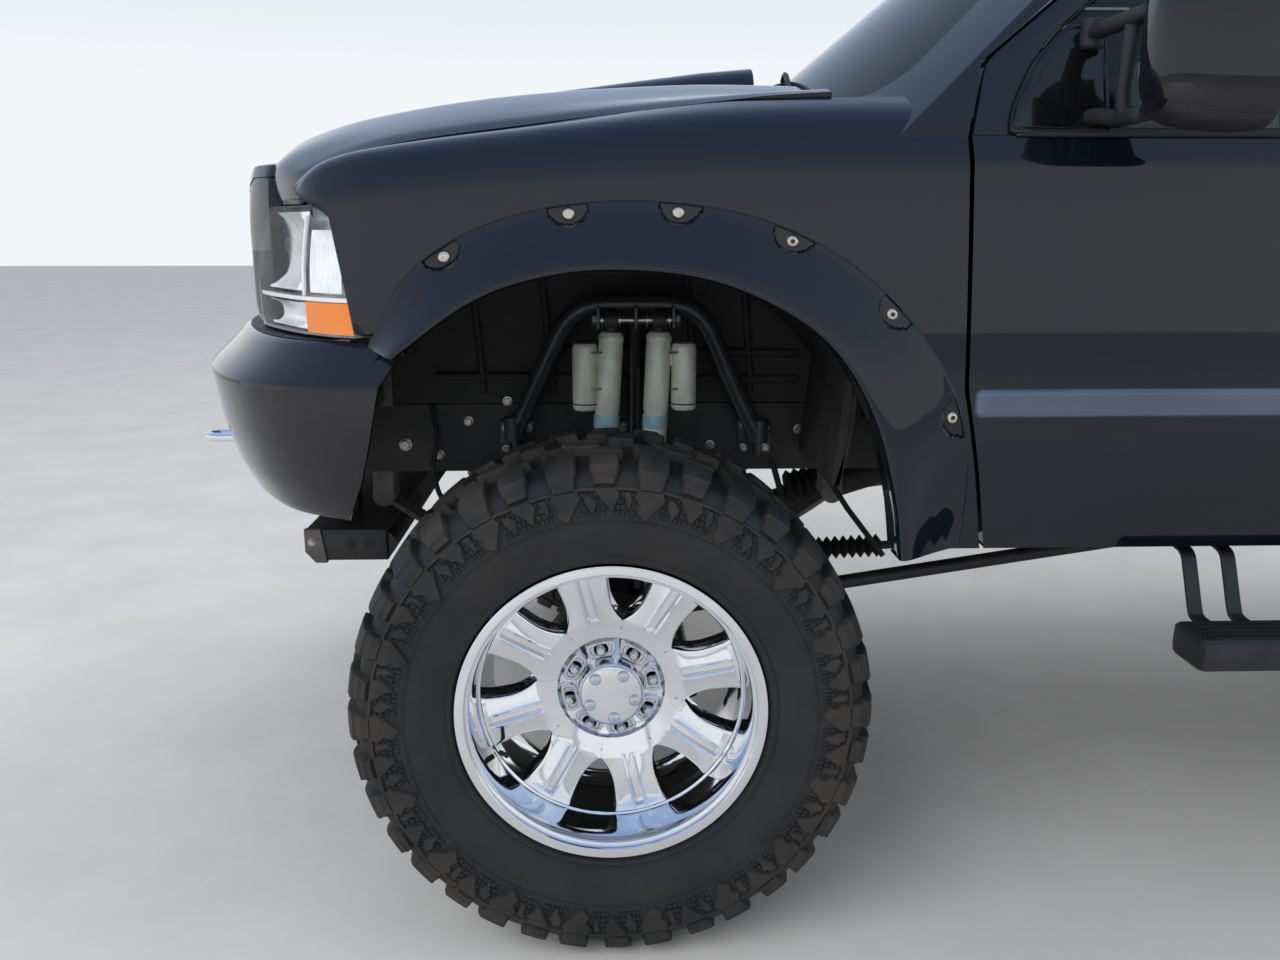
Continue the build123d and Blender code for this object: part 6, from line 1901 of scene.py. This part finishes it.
def hitch_parts():
    """The tow receiver with its collar, pin and clip, safety-chain loops and cross tube."""
    build = Build()
    outer, inner = 0.032, 0.0252
    corners = [(-1, -1), (1, -1), (1, 1), (-1, 1)]
    rows = []
    for x, r in ((0.3, outer), (0.046, outer), (0.046, 0.0385), (0.0215, 0.0385), (0.0205, 0.0365), (0.0205, inner),
                 (0.3, inner)):
        ring_row = []
        for cy, cz in corners:
            for k in range(5):
                t = math.atan2(cz, cy) - math.pi / 4 + math.pi / 2 * k / 4
                soft = 0.005
                ring_row.append(Vector((x, cy * (r - soft) + soft * math.cos(t),
                                        0.752 + cz * (r - soft) + soft * math.sin(t))))
        rows.append(ring_row)
    build.grid(rows, close_u=True)
    build.tube([(0.09, -0.056, 0.752), (0.09, 0.05, 0.752)], 0.0078, 16, 1)
    build.tube(smooth_path([(0.09, 0.05, 0.752), (0.09, 0.058, 0.742), (0.09, 0.054, 0.72), (0.09, 0.04, 0.714)], 4),
               0.0022, 8, 1)
    for s in (1, -1):
        loop = [(0.15, s * 0.034, 0.736), (0.12, s * 0.05, 0.73), (0.108, s * 0.075, 0.728), (0.122, s * 0.1, 0.73),
                (0.16, s * 0.104, 0.736), (0.25, s * 0.104, 0.742)]
        build.tube(smooth_path(loop, 5), 0.006, 10)
        build.side_box(s, (0.242, 0.034, 0.724), (0.318, 0.518, 0.78), 0.006)
        build.side_box(s, (0.242, rail_y, 0.724), (0.318, 0.469, 0.978), 0.003)
        for z in (0.86, 0.95):
            bolt_head(build, (0.28, s * 0.469, z), (0, s, 0), 0.01, 1)
    return build


hitch_parts().move(to_tail).make("hitch_receiver", [frame_black, steel], "chassis", ["hitch"], slot="frame_black",
                                 crease=34)


def tail_lamp():
    """One tall lamp: a dark housing, red upper and lower lenses and a clear reversing lens, with fine ribs."""
    shell, red, clear = Build(), Build(), Build()
    skin = 0.0843
    shell.box((0.088, 0.746, 1.131), (0.105, 0.939, 1.499), 0.006)
    sections = [(1.136, 1.226, red), (1.232, 1.306, clear), (1.312, 1.494, red)]
    for z0, z1, lens_build in sections:
        rows = []
        for t in (j / 14 for j in range(15)):
            round_z = 0.0032 * (1 - abs(2 * t - 1) ** 10)
            row = []
            for s in (i / 28 for i in range(29)):
                round_y = 0.004 * (1 - abs(2 * s - 1) ** 8)
                rib = 0.0003 * math.sin(2 * math.pi * 7 * s)
                row.append(Vector((skin + 0.0042 - round_z - round_y * 0.5 + rib, 0.751 + 0.1835 * s,
                                   z0 + (z1 - z0) * t)))
            rows.append(row)
        closed_sheet(lens_build, rows, [[Vector((skin + 0.0062, p.y, p.z)) for p in row] for row in rows])
    for z in (1.181, 1.36, 1.446):
        shell.turned((0.0878, 0.842, z), (-1, 0, 0), [(0, 0.026), (0.0004, 0.034)], 28, 1)
    return shell, red, clear


for part_name, form, finish, slot_name in zip(("housing", "red", "reversing"), tail_lamp(),
                                              ([trim, reflector], red_lens, clear_lens),
                                              ("black_trim", "lamp_red", "lamp")):
    both_sides(form.move(to_tail), f"tail_lamp_{part_name}_{{}}", finish, "chassis",
               ["tail_lamps"] if part_name == "housing" else (), slot=slot_name, crease=35)


def gate_face(z):
    """The tail's outer face on the liftgate at a height, measured forward of the tail."""
    return 0.105 + (0.22 - 0.105) * (z - 1.562) / (2.18 - 1.562)


def gate_parts():
    """Liftgate fittings: window seal, wiper, stop lamp, and pull strip with its lock."""
    build = Build()
    loop = rounded_loop([(-0.6, 1.64), (-0.56, 2.06), (0.56, 2.06), (0.6, 1.64)], 0.05)
    build.grid([[Vector((gate_face(q.y) + out, q.x, q.y)) for q in shrunk(loop, Vector((0, 1.85)), shrink)] for shrink,
                out in ((-0.006, 0.001), (-0.004, -0.003), (0.006, -0.003), (0.01, 0.002), (0.01, 0.012))],
               close_u=True)
    build.box((0.101, -0.33, 1.585), (0.113, 0.33, 1.62), 0.005, 1)
    build.box((0.099, -0.09, 1.588), (0.105, 0.09, 1.606), 0.003, 0)
    build.turned((0.0995, 0.13, 1.603), (-1, 0, 0), [(0, 0.011), (0.0015, 0.011), (0.0022, 0.0096)], 24, 2)
    base = Vector((gate_face(1.655) - 0.004, 0.02, 1.655))
    build.turned(base, (-1, 0, 0.2), [(-0.006, 0.02), (0.006, 0.019), (0.011, 0.014)], 24, 0)
    tip = Vector((gate_face(1.7) - 0.016, -0.33, 1.705))
    build.tube([base + Vector((-0.01, 0, 0)), base.lerp(tip, 0.3) + Vector((-0.014, 0, 0)), tip], 0.005, 10, 0)
    build.tube([Vector((gate_face(1.69) - 0.008, -0.52, 1.69)), Vector((gate_face(1.72) - 0.008, -0.13, 1.722))],
               0.0048, 8, 0)
    build.box((gate_face(2.1) - 0.006, -0.17, 2.092), (gate_face(2.1) + 0.012, 0.17, 2.112), 0.004, 3)
    return build


gate_parts().move(to_tail).make("liftgate_fittings", [seal, paint, steel, red_lens], "liftgate", slot="black_trim",
                                crease=40)


def barn_parts(s):
    """Fittings of one lower rear door: hinges, edge seal, the protective strip, and the handle on the left one."""
    build = Build()

    def face(z):
        return 0.118 + (0.105 - 0.118) * (z - 1.025) / 0.533

    for z in (1.16, 1.46):
        build.side_box(s, (face(z) - 0.008, 0.61, z - 0.022), (face(z) + 0.002, 0.6905, z + 0.022), 0.004, 1)
        build.tube([(face(z) - 0.006, s * 0.682, z - 0.03), (face(z) - 0.006, s * 0.682, z + 0.03)], 0.008, 14, 1)
        for y in (0.63, 0.66):
            bolt_head(build, (face(z) - 0.008, s * y, z), (-1, 0, 0), 0.0052, 2, button=True)
    strip_rows = []
    for y in (0.012, 0.016, 0.024, 0.65, 0.658, 0.662):
        out = min(1.0, 0.3 + min(y - 0.012, 0.662 - y) / 0.012)
        strip_rows.append([Vector((face(z) - o * out, s * y, z)) for o,
                           z in ((-0.001, 1.058), (0.007, 1.062), (0.0095, 1.07), (0.009, 1.098), (0.006, 1.107),
                                 (-0.001, 1.111))])
    build.grid(strip_rows, caps=True, mat=1)
    loop = rounded_loop([(0.015, 1.036), (0.678, 1.036), (0.678, 1.548), (0.015, 1.548)], 0.03, 5)
    build.grid([[Vector((face(q.y) + depth, s * q.x, q.y)) for q in shrunk(loop, Vector((0.346, 1.292)), shrink)]
                for shrink, depth in ((-0.004, 0.0006), (0.002, -0.0022), (0.03, -0.0026), (0.036, -0.0002))],
               close_u=True, mat=1)
    if s > 0:
        z = 1.395
        build.box((face(z) - 0.005, 0.012, z - 0.04), (face(z) + 0.001, 0.185, z + 0.04), 0.005, 0)
        bar = smooth_path([(face(z) - 0.008, 0.03, z), (face(z) - 0.0165, 0.055, z), (face(z) - 0.0165, 0.13, z),
                           (face(z) - 0.008, 0.16, z)], 5)
        build.grid([[p + Vector((0.0045 * math.cos(t), 0, 0.012 * math.sin(t))) for t in turns(14)] for p in bar],
                   close_u=True, caps=True, mat=3)
        build.turned((face(z) - 0.005, 0.172, z), (-1, 0, 0), [(0, 0.01), (0.0015, 0.01), (0.002, 0.0085)], 20, 2)
    return build


for side_name, s in (("left", 1), ("right", -1)):
    barn_parts(s).move(to_tail).make(f"barn_door_fittings_{side_name}", [trim, paint, steel, gloss],
                                     f"barn_door_{side_name}", slot="black_trim", crease=32)


def roof_parts():
    """The left roof rail: an oval bar on three bolted feet."""
    build = Build()
    rail = smooth_path([(-1.655, 0.6, 2.222), (-1.672, 0.6, 2.25), (-1.705, 0.6, 2.268), (-1.76, 0.6, 2.27),
                        (-3.0, 0.6, 2.27), (-4.24, 0.6, 2.27), (-4.295, 0.6, 2.268), (-4.328, 0.6, 2.25),
                        (-4.345, 0.6, 2.218)], 5)
    section = [(0.015 * math.cos(t), 0.0125 * math.sin(t)) for t in turns(16)]
    build.grid([[p + Vector((0, y, 0)) + Vector((-along.z, 0, along.x)) * h for y, h in section]
                for p, along in zip(rail, tangents(rail))], close_u=True, caps=True)
    for a, base in ((-1.668, 2.2165), (-3.0, 2.228), (-4.332, 2.209)):
        build.box((a - 0.05, 0.576, base - 0.004), (a + 0.05, 0.624, base + 0.01), 0.005)
        if a == -3.0:
            build.box((a - 0.032, 0.588, base), (a + 0.032, 0.612, 2.262), 0.006)
        for da in (-0.036, 0.036):
            bolt_head(build, (a + da, 0.6, base + 0.01), (0, 0, 1), 0.006, 1, button=True)
    return build


both_sides(roof_parts().move(to_front), "roof_rail_{}", [trim, steel], "chassis", ["roof_rails"], slot="black_trim",
           crease=34)


def quarter_parts():
    """Side fittings behind the doors: window seal, belt strip, protective strip and fuel door."""
    build = Build()
    window_seal(build, rounded_loop([(-2.79, 1.567), (-2.79, 2.06), (-4.48, 2.06), (-4.56, 1.567)], 0.045), mat=0)
    belt_strip(build, -2.8, -4.54)
    strip(build, axle_gap - 0.7, tail - front + 0.15, mat=3)
    fuel_door = rounded_loop([(-4.3, 1.38), (-4.3, 1.24), (-4.46, 1.24), (-4.46, 1.38)], 0.03)
    rows = [[on_side(*p, inset) for p in shrunk(fuel_door, Vector((-4.38, 1.31)), shrink)] for shrink, inset in (
        (0.0, -0.0003), (0.0, 0.003), (0.0035, 0.003), (0.0035, -0.0012), (0.008, -0.0024))]
    build.grid(rows, close_u=True, mat=1)
    build.add(rows[-1], [list(range(len(rows[-1])))], 1)
    return build


both_sides(quarter_parts().move(to_front), "quarter_fittings_{}", [seal, paint, seal, strip_painted_sky_reflection], "chassis",
           slot="black_trim", crease=32)


def arch_return():
    """The rear arch's inner sheet, from the liner out to the body side, with a folded edge."""
    build = Build()
    low = math.asin((0.802 - arch_mid_z) / arch_r)
    section = [(0.006, 0.866), (0.006, 0.97), (0.016, 0.976), (0.016, 0.97), (0.012, 0.966), (0.012, 0.866)]
    build.grid([[Vector((axle_gap + (arch_r + out) * math.cos(t), y, arch_mid_z + (arch_r + out) * math.sin(t)))
                 for out, y in section] for t in (low + (math.pi - 2 * low) * k / 40 for k in range(41))],
               close_u=True, caps=True)
    return build


both_sides(arch_return().move(to_front), "rear_arch_return_{}", liner, "chassis", slot="black_trim")


def bellows(build, start, end, small, big, count, mat):
    """A ribbed rubber boot between two points."""
    start, end = Vector(start), Vector(end)
    line, radii = [], []
    for k in range(count * 4 + 1):
        t = k / (count * 4)
        line.append(start.lerp(end, t))
        radii.append(small + (big - small) * (0.5 - 0.5 * math.cos(2 * math.pi * count * t)))
    build.tube(line, radii, 20, mat)


def underside_parts():
    """Ribbed boots, brake lines, spring clips and bolts, joint caps, and the polished tail pipe end."""
    build = Build()
    bellows(build, (-0.531, -0.18, 0.64), (-0.7, -0.18, 0.68), 0.043, 0.056, 7, 1)
    for s in (1, -1):
        build.side_box(s, (-0.8, 0.862, 0.792), (-0.645, 0.868, 0.962), 0.001)
        bellows(build, (-0.531, s * 0.3, 0.597), (-0.7, s * 0.3, 0.604), 0.016, 0.03, 8, 1)
        build.tube([(-0.17, s * 0.3, 0.59), (-0.54, s * 0.3, 0.597), (-0.72, s * 0.3, 0.605), (-1.0, s * 0.36, 0.76),
                    (-1.06, s * 0.372, 0.842)], 0.011, 12, 0)
        build.tube([(-0.64, s * 0.56, 0.655), (-0.56, s * 0.52, 0.76), (-0.5, s * 0.47, 0.855)], 0.0068, 10, 0)
        for a in (0.0, axle_gap):
            for da in (-0.085, 0.085):
                for dy in (-0.048, 0.048):
                    build.tube([(a + da, s * (0.41 + dy), 0.47), (a + da, s * (0.41 + dy), 0.64)], 0.0078, 10, 2)
                    build.turned((a + da, s * (0.41 + dy), 0.47), (0, 0, -1),
                                 [(-0.004, 0.014), (0.01, 0.014), (0.011, 0.012)], 6, 2)
    tip = Vector((-2.64, 0.94, 0.735))
    direction = Vector((-0.04 / 0.69, 0.69, -0.04)).normalized()
    build.turned(tip - direction * 0.11, direction, [(0, 0.0385), (0.004, 0.042), (0.108, 0.0425), (0.11, 0.041),
                                                     (0.1095, 0.0375), (0.03, 0.037)], 36, 3, caps=False)
    return build


underside_parts().move(to_front).make("underside_details", [frame_black, seal, steel, chrome], "chassis",
                                      slot="frame_black", crease=34)


def beam_parts():
    """The cross beam under the bumper: a bevelled box with end plates, holes and a tube behind."""
    build = Build()
    outline = [(0.504, 0.668), (0.504, 0.74), (0.686, 0.74), (0.686, 0.69), (0.664, 0.668)]
    centre = Vector((0.595, 0.704))
    ends = ((-0.6, 0.9), (-0.5985, 0.98), (-0.594, 1.0), (0.594, 1.0), (0.5985, 0.98), (0.6, 0.9))
    build.grid([[Vector((centre.x + (a - centre.x) * k, y, centre.y + (z - centre.y) * k)) for a, z in outline] for y,
                k in ends], close_u=True, caps=True)
    for s in (1, -1):
        plate = [(0.688, 0.742), (0.688, 0.69), (0.665, 0.664), (0.64, 0.664), (0.652, 0.742)]
        build.grid([[Vector((a, s * y, z)) for a, z in plate] for y in (0.59, 0.6045)], close_u=True, caps=True, mat=1)
        bolt_head(build, (0.672, s * 0.6045, 0.712), (0, s, 0), 0.007, 2)
        build.side_box(s, (0.602, 0.382, 0.735), (0.648, 0.433, 0.839), 0.004)
        build.tube([(0.515, s * 0.2, 0.704), (0.515, s * 0.59, 0.704)], 0.03, 20)
        for a in (0.545, 0.585):
            build.turned((a, s * 0.6003, 0.706), (0, s, 0), [(0, 0.0135), (0.0004, 0.012), (0.0002, 0.004)], 20, 3)
    return build


beam_parts().move(to_front).make("blocker_beam_skin", [frame_black, dark_steel, steel, seal], "chassis",
                                 ["blocker_beam"], slot="frame_black", crease=34)


# Floor, light and camera

def floor_and_light():
    """A pale floor, a soft sky and two large soft lamps."""
    bpy.ops.mesh.primitive_plane_add(size=80, location=(0, 0, 0))
    floor = bpy.context.object
    floor.name = "floor"
    mat, shader = new_material("pale_floor")
    cloud = noise(mat, 2.2, 8.0, 0.6)
    wire(mat, ramp(mat, cloud.outputs["Fac"], 0.3, 0.75, (0.56, 0.555, 0.545), (0.64, 0.635, 0.625)).outputs["Color"],
         shader.inputs["Base Color"])
    shader.inputs["Roughness"].default_value = 0.85
    fine = noise(mat, 60.0, 6.0, 0.7)
    bump(mat, shader, fine.outputs["Fac"], 0.25, 0.002)
    floor.data.materials.append(mat)

    world = bpy.data.worlds.new("studio")
    bpy.context.scene.world = world
    world.use_nodes = True
    tree = world.node_tree
    back = tree.nodes["Background"]
    coords = tree.nodes.new("ShaderNodeTexCoord")
    split = tree.nodes.new("ShaderNodeSeparateXYZ")
    sky = tree.nodes.new("ShaderNodeValToRGB")
    stops = [(0.0, (0.9, 0.92, 0.94)), (0.12, (0.9, 0.92, 0.94)), (0.34, (0.55, 0.68, 0.88)), (1.0, (0.26, 0.4, 0.7))]
    elements = sky.color_ramp.elements
    while len(elements) < len(stops):
        elements.new(0.5)
    for element, (at, colour) in zip(elements, stops):
        element.position = at
        element.color = (*colour, 1)
    tree.links.new(coords.outputs["Generated"], split.inputs[0])
    tree.links.new(split.outputs["Z"], sky.inputs["Fac"])
    back.inputs["Color"].default_value = (0.93, 0.95, 1.0, 1)
    back.inputs["Strength"].default_value = 0.8
    seen = tree.nodes.new("ShaderNodeBackground")
    tree.links.new(sky.outputs["Color"], seen.inputs["Color"])
    paths = tree.nodes.new("ShaderNodeLightPath")
    mix = tree.nodes.new("ShaderNodeMixShader")
    out = tree.nodes["World Output"]
    total = paths.outputs["Is Camera Ray"]
    for ray in ("Is Glossy Ray", "Is Transmission Ray"):
        both = tree.nodes.new("ShaderNodeMath")
        both.operation = "ADD"
        both.use_clamp = True
        tree.links.new(total, both.inputs[0])
        tree.links.new(paths.outputs[ray], both.inputs[1])
        total = both.outputs[0]
    tree.links.new(total, mix.inputs["Fac"])
    tree.links.new(back.outputs["Background"], mix.inputs[1])
    tree.links.new(seen.outputs["Background"], mix.inputs[2])
    tree.links.new(mix.outputs["Shader"], out.inputs["Surface"])

    for name, place in (("key_lamp", (front + 5.0, 6.5, 5.5)), ("back_lamp", (rear - 4.0, -7.0, 6.0))):
        data = bpy.data.lights.new(name, "AREA")
        data.shape, data.size, data.energy = "DISK", 7.5, 520
        lamp = bpy.data.objects.new(name, data)
        lamp.visible_glossy = False
        lamp.location = place
        lamp.rotation_euler = (Vector((front - 1.2, 0, 0.9)) - lamp.location).to_track_quat("-Z", "Y").to_euler()
        bpy.context.scene.collection.objects.link(lamp)


def camera():
    """The photograph's view: from the left of the front wheel, at the height of the headlamps."""
    pitch, yaw = math.radians(12.96), math.radians(1.82)
    focal_px, photo_px, sensor_mm = 1095.4, 1280, 36.0
    ahead = Vector((-math.sin(yaw) * math.cos(pitch), -math.cos(yaw) * math.cos(pitch), -math.sin(pitch)))
    right = Vector((-math.cos(yaw), math.sin(yaw), 0))
    up = right.cross(ahead)
    data = bpy.data.cameras.new("camera")
    data.sensor_width = sensor_mm
    data.lens = focal_px / photo_px * sensor_mm
    cam = bpy.data.objects.new("camera", data)
    eye = Matrix.Translation((front + 0.0074, 3.003, 1.4037))
    cam.matrix_world = eye @ Matrix((right, up, -ahead)).transposed().to_4x4()
    bpy.context.scene.collection.objects.link(cam)
    bpy.context.scene.camera = cam


floor_and_light()
camera()
bpy.context.scene.view_settings.view_transform = "Standard"
